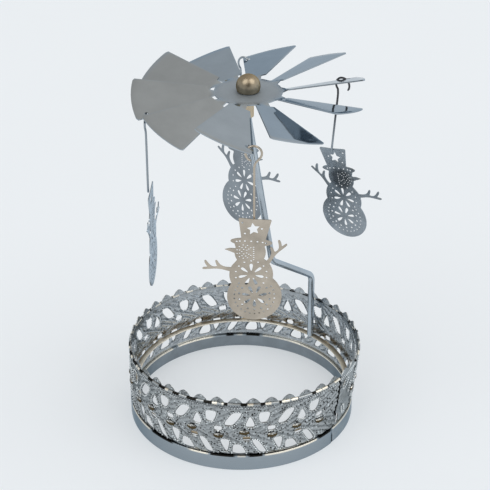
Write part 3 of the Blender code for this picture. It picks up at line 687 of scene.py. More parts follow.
def line_tree():
    """A round line along the strip's top, rolled up with it."""
    parts = {"Path": "Geometry", "Line Radius": "Float"}
    tree, graph, sockets = node_group("Rolled Line", {**parts, **ROLL_SOCKETS})
    curve = graph.add("GeometryNodeMeshToCurve", sockets["Path"])
    ring = graph.add("GeometryNodeCurvePrimitiveCircle", Resolution=10, Radius=sockets["Line Radius"])
    tube = graph.add("GeometryNodeCurveToMesh", curve, ring, Fill_Caps=True)
    finish_group(graph, sockets, roll_up(graph, sockets, tube))
    return tree


def pierced_tree():
    """Fills an outline, cuts flowers of petals and small round holes in it and gives it thickness."""
    parts = {"Outline": "Geometry", "Petal": "Object", "Flowers": "Object", "Dots": "Object"}
    tree, graph, sockets = node_group("Pierced Charm", {**parts, "Petals": "Int", "Sheet": "Float"})
    spokes = graph.add("GeometryNodeMeshLine", Count=sockets["Petals"], Offset=(0.0, 0.0, 0.0))
    index = graph.add("GeometryNodeInputIndex")
    step = graph.math("DIVIDE", FULL_TURN, sockets["Petals"])
    bearing = graph.add("ShaderNodeCombineXYZ", 0.0, 0.0, graph.math("MULTIPLY", index, step))
    flower = graph.scatter(spokes, graph.shape_of(sockets["Petal"]), Rotation=bearing)
    measure = graph.add("GeometryNodeInputNamedAttribute", "radius")
    facing = graph.add("ShaderNodeCombineXYZ", 0.0, 0.0, measure)
    flowers = graph.scatter(graph.shape_of(sockets["Flowers"]), flower, Rotation=facing)
    ring = graph.add("GeometryNodeMeshCircle", Vertices=9, Radius=1.0)
    holes = graph.scatter(graph.shape_of(sockets["Dots"]), ring, Scale=measure)
    edges = graph.realised(graph.joined(sockets["Outline"], flowers, holes))
    filled = graph.add("GeometryNodeFillCurve", graph.add("GeometryNodeMeshToCurve", edges))
    raised = graph.add("GeometryNodeExtrudeMesh", filled, Offset_Scale=sockets["Sheet"], Individual=False)
    solid = graph.joined(raised, graph.add("GeometryNodeFlipFaces", filled))
    finish_group(graph, sockets, graph.add("GeometryNodeMergeByDistance", solid, Distance=WELD))
    return tree


def add_material(name):
    """A material, its builder, its shader and the place on the object that its patterns read."""
    material = bpy.data.materials.new(name)
    material.use_nodes = True
    graph = Graph(material.node_tree)
    shader = material.node_tree.nodes["Principled BSDF"]
    return material, graph, shader, graph.add("ShaderNodeTexCoord", output="Object")


def fill_metal(graph, shader, metal, gloss, sheen, bump):
    """Gives a shader a metal's colour, roughness, sheen at a low angle and fine relief."""
    shader.inputs["Metallic"].default_value = 1.0
    shader.inputs["Specular Tint"].default_value = (*sheen, 1.0)
    for name, value in (("Base Color", metal), ("Roughness", gloss), ("Normal", bump)):
        graph.fill(shader.inputs[name], value)


def noise_at(graph, place, scale, detail=3.0, roughness=0.5):
    return graph.add("ShaderNodeTexNoise", Vector=place, Scale=scale, Detail=detail, Roughness=roughness)


def ramp(graph, value, low, high, stops):
    """A ramp between two stops, from one colour to another."""
    out = graph.add("ShaderNodeValToRGB", value)
    elements = out.node.color_ramp.elements
    elements[0].position, elements[1].position = stops
    elements[0].color = (*low, 1.0)
    elements[1].color = (*high, 1.0)
    return out


# The Mix node's sockets for colours: its factor, two colours and result
MIX_FACTOR, MIX_FIRST, MIX_SECOND, MIX_RESULT = 0, 6, 7, 2


def mixed(graph, factor, first, second):
    blend = graph.add("ShaderNodeMix", data_type="RGBA", output=MIX_RESULT)
    for place, value in ((MIX_FACTOR, factor), (MIX_FIRST, first), (MIX_SECOND, (*second, 1.0))):
        graph.fill(blend.node.inputs[place], value)
    return blend


def shaded(tint, factor):
    return tuple(min(1.0, channel * factor) for channel in tint)


def plate(name, tint, gloss, grain=700.0, dent=0.04, streak=None, contrast=0.10, dull=None, dark_patch=None):
    """Bright plated metal: cloudy tint, smudged gloss and a fine uneven grain."""
    material, graph, shader, place = add_material(name)
    drawn = graph.add("ShaderNodeMapping", place, Scale=streak) if streak else place
    clouds = noise_at(graph, place, 70.0, 4.0, 0.6)
    metal = ramp(graph, clouds, shaded(tint, 1 - contrast), shaded(tint, 1 + contrast), (0.35, 0.65))
    # Darkens a ragged patch round a point
    if dark_patch:
        spot, reach, dark = dark_patch
        frayed = graph.math("MULTIPLY", noise_at(graph, place, 300.0), 0.5 * reach)
        ragged = graph.math("ADD", graph.away(place, spot), frayed)
        near = graph.span(ragged, 0.85 * reach, 1.25 * reach, 1.0, 0.0)
        metal = mixed(graph, near, metal, dark)
    smudge = noise_at(graph, drawn, 160.0, 5.0, 0.65)
    gloss_out = graph.span(smudge, 0.3, 0.7, *gloss)
    if dull:
        middle, reach, extra = dull
        handled = graph.span(graph.away(place, middle), 0.7 * reach, reach, extra, 0.0)
        gloss_out = graph.math("ADD", gloss_out, handled)
    fine = noise_at(graph, drawn, grain, 2.0)
    bump = graph.add("ShaderNodeBump", Strength=dent, Distance=0.0002, Height=fine)
    fill_metal(graph, shader, metal, gloss_out, shaded(tint, 1.45), bump)
    return material


def pressed_plate(name, tint, patina_and_shade, painted_shade_black, glints=1.7, grain_depth=0.45, dark_patch=None):
    """Pressed plate: bright on its high places, darker in its hollows with patina and painted shade,
    painted black shade in its small pits and painted glints.
    """
    material, graph, shader, place = add_material(name)
    relief = graph.add("ShaderNodeAttribute", attribute_name="relief", output="Fac")
    clouds = noise_at(graph, place, 420.0, 3.0, 0.7)
    high = graph.math("ADD", relief, graph.math("MULTIPLY", graph.math("SUBTRACT", clouds, 0.5), 0.8))
    # Darker in the hollows: patina with painted shade
    metal = ramp(graph, high, patina_and_shade, tint, (-0.05, 0.42))
    cell = graph.add("ShaderNodeTexVoronoi", Vector=place, Scale=760.0, Randomness=0.8)
    # Small pits painted black as shade
    hollow = graph.span(cell, 0.24, 0.38, 1.0, 0.0)
    pit = graph.math("MULTIPLY", hollow, graph.span(relief, 0.2, 0.4, 0.0, 1.0))
    grain_at = graph.add("ShaderNodeTexVoronoi", Vector=place, Scale=590.0, Randomness=1.0)
    # Painted glints: bright specks that stand in for sparkle
    glint = graph.span(grain_at, 0.16, 0.26, 1.0, 0.0)
    metal = mixed(graph, glint, metal, shaded(tint, glints))
    metal = mixed(graph, pit, metal, painted_shade_black)
    # An optional dark patch at a height: on the lining it paints contact shade and warm reflection above
    # the ledge
    if dark_patch:
        height, reach, brown = dark_patch
        level = graph.add("ShaderNodeSeparateXYZ", place, output="Z")
        away = graph.math("ABSOLUTE", graph.math("SUBTRACT", level, height))
        strength = graph.span(away, 0.35 * reach, reach, 1.0, 0.0)
        patchy = graph.span(noise_at(graph, place, 240.0), 0.38, 0.58, 0.15, 0.9)
        metal = mixed(graph, graph.math("MULTIPLY", strength, patchy), metal, brown)
    gloss_out = graph.span(noise_at(graph, place, 260.0), 0.3, 0.7, 0.16, 0.34)
    grain = graph.math("SUBTRACT", noise_at(graph, place, 1500.0, 2.0), graph.math("MULTIPLY", pit, 1.6))
    bump = graph.add("ShaderNodeBump", Strength=grain_depth, Distance=0.00018, Height=grain)
    fill_metal(graph, shader, metal, gloss_out, tint, bump)
    return material


def painted_light_plate(name, tint, painted_shade_black, painted_light, gloss=(0.12, 0.24)):
    """Plate painted with light: its painted_light attribute runs from painted shade through plain to a
    painted highlight.
    """
    material, graph, shader, place = add_material(name)
    tone = graph.add("ShaderNodeAttribute", attribute_name="painted_light", output="Fac")
    clouds = graph.math("SUBTRACT", noise_at(graph, place, 110.0, 4.0, 0.6), 0.5)
    uneven = graph.math("ADD", tone, graph.math("MULTIPLY", clouds, 0.16))
    metal = ramp(graph, uneven, painted_shade_black, painted_light, (0.12, 0.92))
    for position, factor in ((0.40, 0.97), (0.60, 1.03)):
        metal.node.color_ramp.elements.new(position).color = (*shaded(tint, factor), 1.0)
    gloss_out = graph.span(noise_at(graph, place, 170.0, 5.0, 0.65), 0.3, 0.7, *gloss)
    fine = noise_at(graph, place, 700.0, 2.0)
    bump = graph.add("ShaderNodeBump", Strength=0.04, Distance=0.0002, Height=fine)
    fill_metal(graph, shader, metal, gloss_out, shaded(tint, 1.55), bump)
    return material


def fuller(wave, power):
    """A wave raised to a power under 1, which squares it up and keeps its sign."""
    return math.copysign(abs(wave) ** power, wave)


def opening(place, height, width, tallness, lean, taper, number=26, power=0.60):
    """A rounded opening that leans by lean and is wider at the top for a taper over 0."""
    points = []
    for index in range(number):
        angle = FULL_TURN * (index + 0.5) / number
        rise = fuller(math.sin(angle), power)
        side = fuller(math.cos(angle), power)
        x = place + width / 2 * side * (1 + taper * rise) + lean * rise
        points.append((x, height + tallness / 2 * rise))
    return points


def repeat_length():
    collar = settings("collar")
    strip = FULL_TURN * collar.band_radius - collar.seam_gap
    return (strip - collar.lap) / collar.repeats


def edge_points(offset):
    """A repeat's stepped side from foot to top, in short steps."""
    step = settings("collar").mesh_step
    points = []
    for (low, start), (high, end) in zip(REPEAT_EDGE, REPEAT_EDGE[1:]):
        number = max(1, round((high - low) / step))
        for index in range(number):
            t = index / number
            points.append((offset + start + (end - start) * t, low + (high - low) * t))
    points.append((offset + REPEAT_EDGE[-1][1], REPEAT_EDGE[-1][0]))
    return points


def scalloped_top(length, number):
    """The top edge over a stretch of scallops, from its far end back to its start."""
    collar = settings("collar")
    pitch = length / number
    points = []
    for index in reversed(range(number)):
        for along, rise in reversed(SCALLOP_SHAPE):
            x = (index + along) * pitch
            points.append((x, collar.band_top + rise * collar.scallop_rise))
        if index:
            points.append((index * pitch, collar.band_top))
    return points


def moved_along(loops, shift):
    return [[(x + shift, y) for x, y in loop] for loop in loops]


def search_tree(points):
    tree = kdtree.KDTree(len(points))
    for index, (x, y) in enumerate(points):
        tree.insert((x, y, 0.0), index)
    tree.balance()
    return tree


def gap_to(tree, x, y):
    """Distance to the nearest point of a tree."""
    return tree.find((x, y, 0.0))[2]


def sides(loop):
    return zip(loop, loop[1:] + loop[:1])


def distance_tree(loops, parts=4):
    """Nearest-point search over the openings' edges, each cut into parts."""
    samples = []
    for loop in loops:
        for (ax, ay), (bx, by) in sides(loop):
            samples += [(ax + (bx - ax) * k / parts, ay + (by - ay) * k / parts) for k in range(parts)]
    return search_tree(samples)


def relief_at(x, y, tree):
    """Pressed height from 0 to 1: a lip round each opening and soft pillows between them."""
    collar = settings("collar")
    away = gap_to(tree, x, y) * 1000
    lip = math.exp(-(((away - LIP_AWAY) / LIP_SPREAD) ** 2))
    pillow = 1 - math.exp(-((away / PILLOW_SPREAD) ** 2))
    leaning = 1.0 if y > MID_HEIGHT else -1.0
    rib = math.sin((0.45 * x - leaning * 0.9 * y) * FULL_TURN / RIB_GAP)
    height = LIP_SHARE * lip + pillow * (PILLOW_SHARE + RIB_SHARE * rib)
    foot = min(1.0, max(0.0, (y - collar.rim_height - FOOT_GAP) / FOOT_FADE))
    top = min(1.0, max(0.0, (collar.cord_height - TOP_FADE - y) / TOP_FADE))
    return min(1.0, height) * foot * top


def set_values(mesh, name, values):
    mesh.attributes.new(name, "FLOAT", "POINT").data.foreach_set("value", values)


def inside(points, loop):
    """Which points lie inside a loop, by counting the edges to their right."""
    found = np.zeros(len(points), dtype=bool)
    x, y = points[:, 0], points[:, 1]
    for (ax, ay), (bx, by) in sides(loop):
        if ay != by:
            found ^= ((ay > y) != (by > y)) & (x < ax + (bx - ax) * (y - ay) / (by - ay))
    return found


def joined_loops(loops):
    """The points of closed loops and the edges between them."""
    points = []
    edges = []
    for loop in loops:
        start = len(points)
        points += [Vector(point) for point in loop]
        edges += [(start + k, start + (k + 1) % len(loop)) for k in range(len(loop))]
    return points, edges


def flat_pattern(name, outline, holes, tree, press=1.0):
    """A flat triangulated sheet with openings, pressed into relief."""
    collar = settings("collar")
    step = collar.mesh_step
    row_step = step * 0.87
    coords, edges = joined_loops([outline] + holes)
    edge_tree = search_tree(coords)
    low = np.min(outline, axis=0)
    high = np.max(outline, axis=0)
    rows = int((high[1] - low[1]) / row_step)
    columns = int((high[0] - low[0]) / step)
    for row in range(rows + 1):
        for column in range(columns + 1):
            x = low[0] + (column + 0.5 * (row % 2)) * step
            y = low[1] + row * row_step
            if gap_to(edge_tree, x, y) > 0.6 * step:
                coords.append(Vector((x, y)))
    points, _, triangles, *_ = geometry.delaunay_2d_cdt(coords, edges, [], 1, WELD / 10)
    middles = [sum((points[k] for k in corners), Vector((0, 0))) / 3 for corners in triangles]
    middles = np.array(middles)
    solid = ~np.any([inside(middles, hole) for hole in holes], axis=0)
    triangles = [corners for corners, kept in zip(triangles, solid) if kept]
    heights = [press * relief_at(point.x, point.y, tree) for point in points]
    face = collar.band_sheet / 2
    verts = [(*point, face + height * collar.emboss) for point, height in zip(points, heights)]
    mesh = new_mesh(name, verts, faces=triangles)
    above_line = [0.3 * (point.y > collar.cord_height) for point in points]
    set_values(mesh, "relief", [max(pair) for pair in zip(heights, above_line)])
    return mesh


def side_materials(mesh, lap_turn=0.0):
    """Gives faces that look to the axis the second material, and the lap's outer ones the third."""
    number = len(mesh.polygons)
    centres = np.empty(3 * number, dtype=np.float32)
    normals = np.empty(3 * number, dtype=np.float32)
    mesh.polygons.foreach_get("center", centres)
    mesh.polygons.foreach_get("normal", normals)
    centres, normals = centres.reshape(-1, 3)[:, :2], normals.reshape(-1, 3)[:, :2]
    facing = np.sum(centres * normals, axis=1) / np.linalg.norm(centres, axis=1)
    around = (np.arctan2(centres[:, 1], centres[:, 0]) - settings("collar").seam) % FULL_TURN
    slots = np.where(facing < -0.5, 1, np.where(around < lap_turn, 2, 0))
    mesh.polygons.foreach_set("material_index", slots.astype(np.int32))


def marks_mesh(name, marks):
    """Loose points with a radius each."""
    mesh = new_mesh(name, [mark[:3] for mark in marks])
    set_values(mesh, "radius", [mark[3] for mark in marks])
    return mesh


def dome_mesh(name, segments, rings):
    """A dome of radius 1 that sinks a little below its base."""
    bm = bmesh.new()
    bmesh.ops.create_uvsphere(bm, u_segments=segments, v_segments=rings * 2, radius=1.0)
    low = [vertex for vertex in bm.verts if vertex.co.z < -0.01]
    bmesh.ops.delete(bm, geom=low, context="VERTS")
    for vertex in bm.verts:
        if vertex.co.z < 0.01:
            vertex.co.z = -0.22
    bmesh.ops.holes_fill(bm, edges=[edge for edge in bm.edges if edge.is_boundary], sides=0)
    mesh = mesh_from(bm, name)
    smooth(mesh, 60.0)
    return mesh


def bead_marks(loops, tree, length):
    """Beads in a row round each opening and in two rows below the rolled line."""
    collar = settings("collar")
    base = collar.band_sheet / 2
    marks = []
    taken = []

    def add(x, y, radius):
        if any(math.hypot(x - a, y - b) < 0.85 * collar.bead_gap for a, b in taken):
            return
        taken.append((x, y))
        marks.append((x, y, base + relief_at(x, y, tree) * collar.emboss - 0.1 * radius, radius))

    number = round(length / collar.bead_gap)
    for index in range(number):
        for row, drop in enumerate(BEAD_ROWS):
            add((index + 0.5 * row) * length / number, collar.cord_height - drop, 0.9 * collar.bead_radius)
    for loop in loops:
        middle = Vector((sum(p[0] for p in loop), sum(p[1] for p in loop))) / len(loop)
        ring = []
        for index, point in enumerate(loop):
            tangent = Vector(loop[(index + 1) % len(loop)]) - Vector(loop[index - 1])
            normal = Vector((tangent.y, -tangent.x)).normalized()
            if normal.dot(Vector(point) - middle) < 0:
                normal.negate()
            ring.append(Vector(point) + normal * BEAD_OFFSET)
        perimeter = sum((b - a).length for a, b in sides(ring))
        spacing = perimeter / max(3, round(perimeter / collar.bead_gap))
        travelled = 0.0
        due = 0.0
        for a, b in sides(ring):
            span = (b - a).length
            while span and due < travelled + span - WELD:
                point = a + (b - a) * ((due - travelled) / span)
                clear = gap_to(tree, *point) > 0.75 * BEAD_OFFSET
                if clear and collar.rim_height + BEAD_FOOT < point.y < collar.cord_height - BEAD_TOP:
                    add(point.x, point.y, collar.bead_radius)
                due += spacing
            travelled += span
    return marks


def painted_lip_tone(around, painted_stretches, blur=1.2):
    """Painted light tone of a lip at a bearing, from a table of where each stretch ends."""
    ends = [end + shift for end, _ in painted_stretches for shift in (-blur, blur)]
    painted_tones = [painted_stretches[0][1]] + [tone for _, tone in painted_stretches[1:] for _ in range(2)] + [painted_stretches[-1][1]]
    return np.interp(around, ends, painted_tones)


class SPINNER_OT_rim(bpy.types.Operator):
    """Smooth rim folded from sheet, with a lapped end"""

    bl_idname = "spinner.rim"
    bl_label = "Rim"

    def execute(self, context):
        collar = settings("collar")
        finish = settings("finish")
        outer, inner, sheet = collar.rim_radius, collar.rim_inner_radius, collar.rim_sheet
        lip = outer - 1.5 * sheet
        band_gap = 0.00006
        fold = collar.band_radius + collar.band_sheet / 2 - collar.band_gauge - band_gap
        top, fold_top = collar.rim_height, collar.rim_inner_height
        lip_low = top - 1.5 * sheet
        fold_low = fold_top - sheet
        outer_wall = [(outer, height) for height in (top, top - 0.9 * sheet, lip_low, lip_low / 2, 0.0)]
        inner_wall = [(inner, 0.0), (inner, fold_low), (inner, fold_top)]
        fold_edge = [(fold, fold_top), (fold, fold_low), (inner + sheet, fold_low)]
        channel = [(inner + sheet, sheet), (outer - sheet, sheet), (outer - sheet, lip_low), (lip, lip_low)]
        profile = [(lip, top)] + outer_wall + inner_wall + fold_edge + channel
        step = math.radians(0.55)
        lap_reach = math.radians(14.0)
        near_seam = [(collar.rim_seam + k * step) % FULL_TURN for k in (-1.5, -0.5, 0.5, 1.5)]

        def lapped(angle, radius):
            away = (angle - collar.rim_seam + math.pi) % FULL_TURN - math.pi
            if radius < lip or abs(away) > lap_reach:
                return 0.0
            groove = collar.rim_lap if abs(away) < step else 0.0
            return -groove - collar.rim_lap * max(0.0, 1 - away / lap_reach) * (away > 0)

        angles = sorted(round_angles(216) + near_seam)
        rim = lathe("rim", eased(profile, radius=0.00036), angles, swell=lapped)
        # Painted light on the rim: highlights and shade along both lips, painted shade in the seam and on
        # the inner wall, a little lighter past the lapped end
        painted_tones = []
        for vertex in rim.data.vertices:
            around = math.degrees(math.atan2(vertex.co.x, -vertex.co.y))
            off_seam = abs(math.atan2(vertex.co.y, vertex.co.x) - collar.rim_seam)
            if vertex.co.z > top - 1.45 * sheet:
                painted_tones.append(painted_lip_tone(around, LIP_PAINTED_LIGHT))
            elif abs(vertex.co.z - fold_top) < 1.3 * sheet:
                painted_tones.append(painted_lip_tone(around, INNER_PAINTED_LIGHT))
            elif off_seam < step and vertex.co.to_2d().length > outer - sheet:
                painted_tones.append(0.0)
            elif vertex.co.to_2d().length < inner + sheet:
                painted_tones.append(0.35)
            else:
                painted_tones.append(0.62 if 53.0 < around < 90.0 else 0.5)
        set_values(rim.data, "painted_light", painted_tones)
        rim.data.materials.append(painted_light_plate("rim_plate", finish.rim, finish.painted_shade_black, finish.painted_light))
        wear(rim, "collar", "base_rim", "base_rim")
        return {"FINISHED"}


class SPINNER_OT_band(bpy.types.Operator):
    """Pierced and pressed band with its scallops, beads, knobs and rolled line"""

    bl_idname = "spinner.band"
    bl_label = "Band"

    def execute(self, context):
        collar = settings("collar")
        finish = settings("finish")
        length = repeat_length()
        loops = [opening(place * length, *shape) for place, *shape in PIERCINGS]
        before, after = moved_along(loops, -length), moved_along(loops, length)
        tree = distance_tree(before + loops + after)
        outline = edge_points(length) + scalloped_top(length, collar.scallops) + edge_points(0.0)[::-1]
        pattern = flat_pattern("band_pattern", outline, loops, tree)
        end_loops = [loop for loop, shape in zip(loops, PIERCINGS) if shape[0] < LAST_PIERCED]
        end_tree = distance_tree(before + end_loops)
        end_start = collar.lap + (collar.repeats - 1) * length
        end = link("band_end", flat_pattern("band_end", outline, end_loops, end_tree))
        end.data.transform(Matrix.Translation((end_start, 0.0, 0.0)))
        slots = [opening(*shape, number=14) for shape in LAP_SLOTS]
        lap_tree = distance_tree(slots)
        lap_outline = edge_points(collar.lap)
        lap_outline += scalloped_top(collar.lap, collar.lap_scallops) + self.torn_edge()[::-1]
        lap = link("band_lap", flat_pattern("band_lap", lap_outline, slots, lap_tree, 0.5))
        metal = pressed_plate("band_plate", finish.pressed, finish.patina_and_shade, finish.painted_shade_black)
        whole = {"Repeat Length": length, **roll_values(), "Lap": collar.lap, "Repeats": collar.repeats}
        values = {**whole, "Repeats": collar.repeats - 1}

        def thicken(maker):
            solid = maker.modifiers.new("sheet", "SOLIDIFY")
            solid.thickness = collar.band_gauge
            solid.offset = -1.0

        parts = {"Plain Lap": lap, "Plain End": end, "Material": metal}
        band = run_nodes("band", pattern, band_tree(), {**values, **parts}, thicken)
        smooth(band.data, 50.0)
        # Darker copies of the lining paint shade in its hollows and pits
        lining = [shaded(finish.lining, factor) for factor in (1.0, 0.78, 0.55)]
        # Painted contact shade and warm reflection on the lining just above the ledge
        dark_patch = (collar.ledge_top + 0.0012, 0.0020, shaded(finish.knob, 1.6))
        band.data.materials.append(pressed_plate("lining_plate", *lining, 1.2, 0.28, dark_patch))
        lap_tint = shaded(finish.pressed, 0.95)
        band.data.materials.append(plate("lap_plate", lap_tint, (0.20, 0.36), 900.0, 0.35, contrast=0.3))
        side_materials(band.data, collar.lap / collar.band_radius)
        for part in (lap, end):
            bpy.data.objects.remove(part)
        wear(band, "collar", "filigree_band", "filigree_band")

        domes = bead_tree()
        # A lightened copy of the pressed plate: painted highlight on the beads
        bright = plate("bead_highlight_plate", shaded(finish.pressed, 1.45), (0.08, 0.16), contrast=0.35)
        values = {**values, "Material": bright}
        last = {**values, "Lap": end_start, "Repeats": 1}
        self.beads(domes, "band_beads", bead_marks(loops, tree, length), values)
        self.beads(domes, "end_beads", bead_marks(end_loops, end_tree, length), last)
        self.beads(domes, "lap_beads", bead_marks(slots, lap_tree, collar.lap), {**last, "Lap": 0.0})
        self.knobs(domes, tree, whole)
        self.line(length)
        self.seam_shadow_strip()
        return {"FINISHED"}

    def beads(self, domes, name, marks, values):
        """Bright domes on the marks of a stretch of the band; their lightened plate paints highlights."""
        dome = link("bead_dome", dome_mesh("bead_dome", 8, 2))
        places = marks_mesh(name + "_marks", marks)
        wear(run_nodes(name, places, domes, {**values, "Dome": dome}), "collar", "filigree_band")
        bpy.data.objects.remove(dome)

    def knobs(self, domes, tree, values):
        """Larger, stretched knobs on each repeat."""
        collar = settings("collar")
        finish = settings("finish")
        # Knobs painted with light: a highlight across the upper left and a dark reflection below
        warm = painted_light_plate("knob_plate", shaded(finish.pressed, 0.9), finish.knob, finish.painted_light)
        dome = link("knob_dome", dome_mesh("knob_dome", 24, 6))
        painted_tones = [self.knob_painted_tone(vertex.co.x, vertex.co.y) for vertex in dome.data.vertices]
        set_values(dome.data, "painted_light", painted_tones)
        dome.data.transform(Matrix.Diagonal((collar.knob_stretch, 1.0, collar.knob_swell, 1.0)))
        seats = []
        for place, y in KNOBS:
            x = place * values["Repeat Length"]
            seat = collar.band_sheet / 2 + relief_at(x, y, tree) * collar.emboss
            seats.append((x, y, seat, collar.knob_radius))
        marks = marks_mesh("knob_marks", seats)
        knobs = run_nodes("band_knobs", marks, domes, {**values, "Dome": dome, "Material": warm})
        wear(knobs, "collar", "filigree_band")
        bpy.data.objects.remove(dome)

    def line(self, length):
        """The rolled line below the scallops."""
        collar = settings("collar")
        finish = settings("finish")
        steps = 720
        places = [collar.lap + collar.repeats * length * k / steps for k in range(steps + 1)]
        verts = [(x, collar.cord_height, collar.band_sheet / 2 + LINE_LIFT) for x in places]
        path = new_mesh("line_path", verts, [(k, k + 1) for k in range(steps)])
        set_values(path, "painted_light", [self.line_painted_tone(x, length / collar.scallops) for x in places])
        gleaming = painted_light_plate("line_plate", finish.pressed, finish.painted_shade_black, finish.painted_light)
        values = {**roll_values(), "Line Radius": collar.cord_radius, "Material": gleaming}
        line = run_nodes("band_line", path, line_tree(), values)
        smooth(line.data, 60.0)
        wear(line, "collar", "filigree_band")

    def torn_edge(self):
        """The lap's side beside the seam, cut unevenly."""
        edge = []
        for x, y in edge_points(0.0):
            wander = noise.noise(Vector((0.0, 340.0 * y, 3.7)))
            edge.append((x + settings("collar").seam_cut * (1.0 + 0.9 * wander), y))
        return edge

    def knob_painted_tone(self, x, y):
        """Painted light on a knob: grey above, a painted highlight across the left and a painted dark
        reflection below.
        """
        if y < 0.45:
            return 0.02
        return 0.9 if y < 0.70 and x < 0.1 else 0.32

    def line_painted_tone(self, x, pitch):
        """Painted light on the rolled line: painted shade in each valley between two scallops and a painted
        highlight beside it, on either side in turn.
        """
        collar = settings("collar")
        valley = math.floor((x - collar.lap) / pitch + 0.5)
        phase = (x - collar.lap) / pitch - valley
        chance = noise.cell(Vector((valley + 0.5, 0.5, 0.5)))
        bearing = collar.seam + x / collar.band_radius + math.pi / 2
        # Painted light by bearing: wider shade on one side of the band, wider highlights on the other
        favour = math.sin(2 * bearing)
        dark = max(0.03, 0.14 - 0.11 * favour + 0.10 * chance)
        leaning = 1 if chance > -0.1 else -1
        if abs(phase) < dark:
            return 0.02
        bright = 0.26 + 0.22 * favour + 0.16 * noise.cell(Vector((valley + 0.5, 7.5, 0.5)))
        return 1.0 if dark <= leaning * phase < dark + bright else 0.55

    def seam_shadow_strip(self):
        """A strip behind the open seam, nearly black outside as painted shadow seen through the seam, with
        a darkened lining tint inside.
        """
        collar = settings("collar")
        finish = settings("finish")
        inner = collar.band_radius - collar.band_sheet / 2 - SHADOW_STRIP_GAP
        outer = inner + SHADOW_STRIP_SHEET
        low, high = collar.rim_height + SHADOW_STRIP_FOOT, collar.band_top - SHADOW_STRIP_TOP
        profile = [(inner, low), (outer, low), (outer, high), (inner, high)]
        steps = 12
        start, end = [reach / collar.band_radius for reach in SHADOW_STRIP_REACH]
        verts = []
        for step in range(steps + 1):
            angle = collar.seam + start + (end - start) * step / steps
            near = max(0.0, math.cos(angle - collar.flare_side)) ** 2
            for radius, height in profile:
                lift = max(0.0, height - collar.rim_height) / (collar.band_top - collar.rim_height)
                reach = radius + collar.flare * lift * near
                verts.append((*on_circle((0.0, 0.0), reach, angle), height))
        faces = [(0, 1, 2, 3), tuple(4 * steps + k for k in (3, 2, 1, 0))]
        for step in range(steps):
            here, there = 4 * step, 4 * step + 4
            for k in range(4):
                following = (k + 1) % 4
                faces.append((here + k, there + k, there + following, here + following))
        mesh = new_mesh("band_tuck", verts, faces=faces)
        face_outwards(mesh)
        # Painted shadow: nearly black outer face seen through the seam
        mesh.materials.append(plate("seam_shadow_plate", shaded(finish.patina_and_shade, 0.3), (0.35, 0.5)))
        lining = shaded(finish.lining, 0.75)
        mesh.materials.append(plate("seam_shadow_lining_plate", lining, (0.16, 0.34), contrast=0.25))
        side_materials(mesh)
        wear(link("band_tuck", mesh), "collar", "filigree_band")


class SPINNER_OT_ledge(bpy.types.Operator):
    """Flat ring that rests on the jar, with a rounded lip"""

    bl_idname = "spinner.ledge"
    bl_label = "Ledge"

    def execute(self, context):
        collar = settings("collar")
        finish = settings("finish")
        outer, top = collar.ledge_radius, collar.ledge_top
        inner, low = outer - collar.ledge_width, top - collar.ledge_sheet
        lip_width = 0.0012
        profile = [(outer, top), (outer, low), (inner, low), (inner, top)]
        ledge = lathe("ledge", eased(profile, radius=0.00026), round_angles(180))
        painted_tones = []
        for vertex in ledge.data.vertices:
            angle = math.atan2(vertex.co.y, vertex.co.x)
            at_lip = vertex.co.to_2d().length < inner + lip_width
            # Painted highlight along the ledge's lip, brightest on the left
            worn = 0.90 - 0.10 * math.cos(angle) + 0.08 * math.sin(5 * angle + 0.8)
            painted_tones.append(worn if at_lip else 0.55)
        set_values(ledge.data, "painted_light", painted_tones)
        tint = shaded(finish.champagne, 0.95)
        metal = painted_light_plate("ledge_plate", tint, finish.painted_shade_black, finish.painted_light, (0.36, 0.50))
        ledge.data.materials.append(metal)
        wear(ledge, "collar", "jar_ledge", "jar_ledge")
        return {"FINISHED"}


class SPINNER_OT_post(bpy.types.Operator):
    """Bent wire post with a ground point"""

    bl_idname = "spinner.post"
    bl_label = "Post"

    def execute(self, context):
        collar = settings("collar")
        side = Vector((math.cos(collar.post_side), math.sin(collar.post_side), 0.0))
        foot = side * collar.post_foot_radius
        hub = Vector((HUB.x, HUB.y, 0.0))
        elbow = hub + (foot - hub).normalized() * collar.post_reach
        corners = [
            foot + UP * collar.post_foot,
            foot + UP * collar.post_leg,
            elbow + UP * collar.post_elbow,
            hub + UP * collar.post_straight,
            hub + UP * (collar.post_tip - collar.post_taper),
        ]
        path = bent(corners, (collar.post_bend, collar.post_bend, collar.post_top_bend))
        shares = [1.0] * len(path)
        for along in (0.4, 0.75, 1.0):
            path.append(hub + UP * (collar.post_tip - collar.post_taper * (1 - along)))
            shares.append(1 - 0.88 * along)
        post = sweep("post", path, collar.post_radius, shares, bevel=8)
        # A lightened copy of the fan's nickel: painted light on the post
        tint = shaded(settings("finish").nickel, 1.2)
        post.data.materials.append(plate("post_plate", tint, (0.10, 0.18), streak=(1.0, 1.0, 0.1)))
        wear(post, "collar", "support_post", "support_post")
        return {"FINISHED"}


def blade_frame(index):
    """A blade's root on the hub's edge, and its directions along, across (trailing) and up."""
    rotor = settings("rotor")
    azimuth = rotor.phase + FULL_TURN * index / BLADES
    radial = Vector((math.cos(azimuth), math.sin(azimuth), 0.0))
    rise = math.radians(BLADE_RISE[index])
    pitch = math.radians(BLADE_PITCH[index])
    along = radial * math.cos(rise) + UP * math.sin(rise)
    lifted = UP * math.cos(rise) - radial * math.sin(rise)
    across = UP.cross(radial) * math.cos(pitch) - lifted * math.sin(pitch)
    return radial * rotor.hub_radius, along, across, along.cross(across)


def blade_point(index, reach, offset):
    root, along, across, _ = blade_frame(index)
    return root + along * (reach - settings("rotor").hub_radius) + across * offset


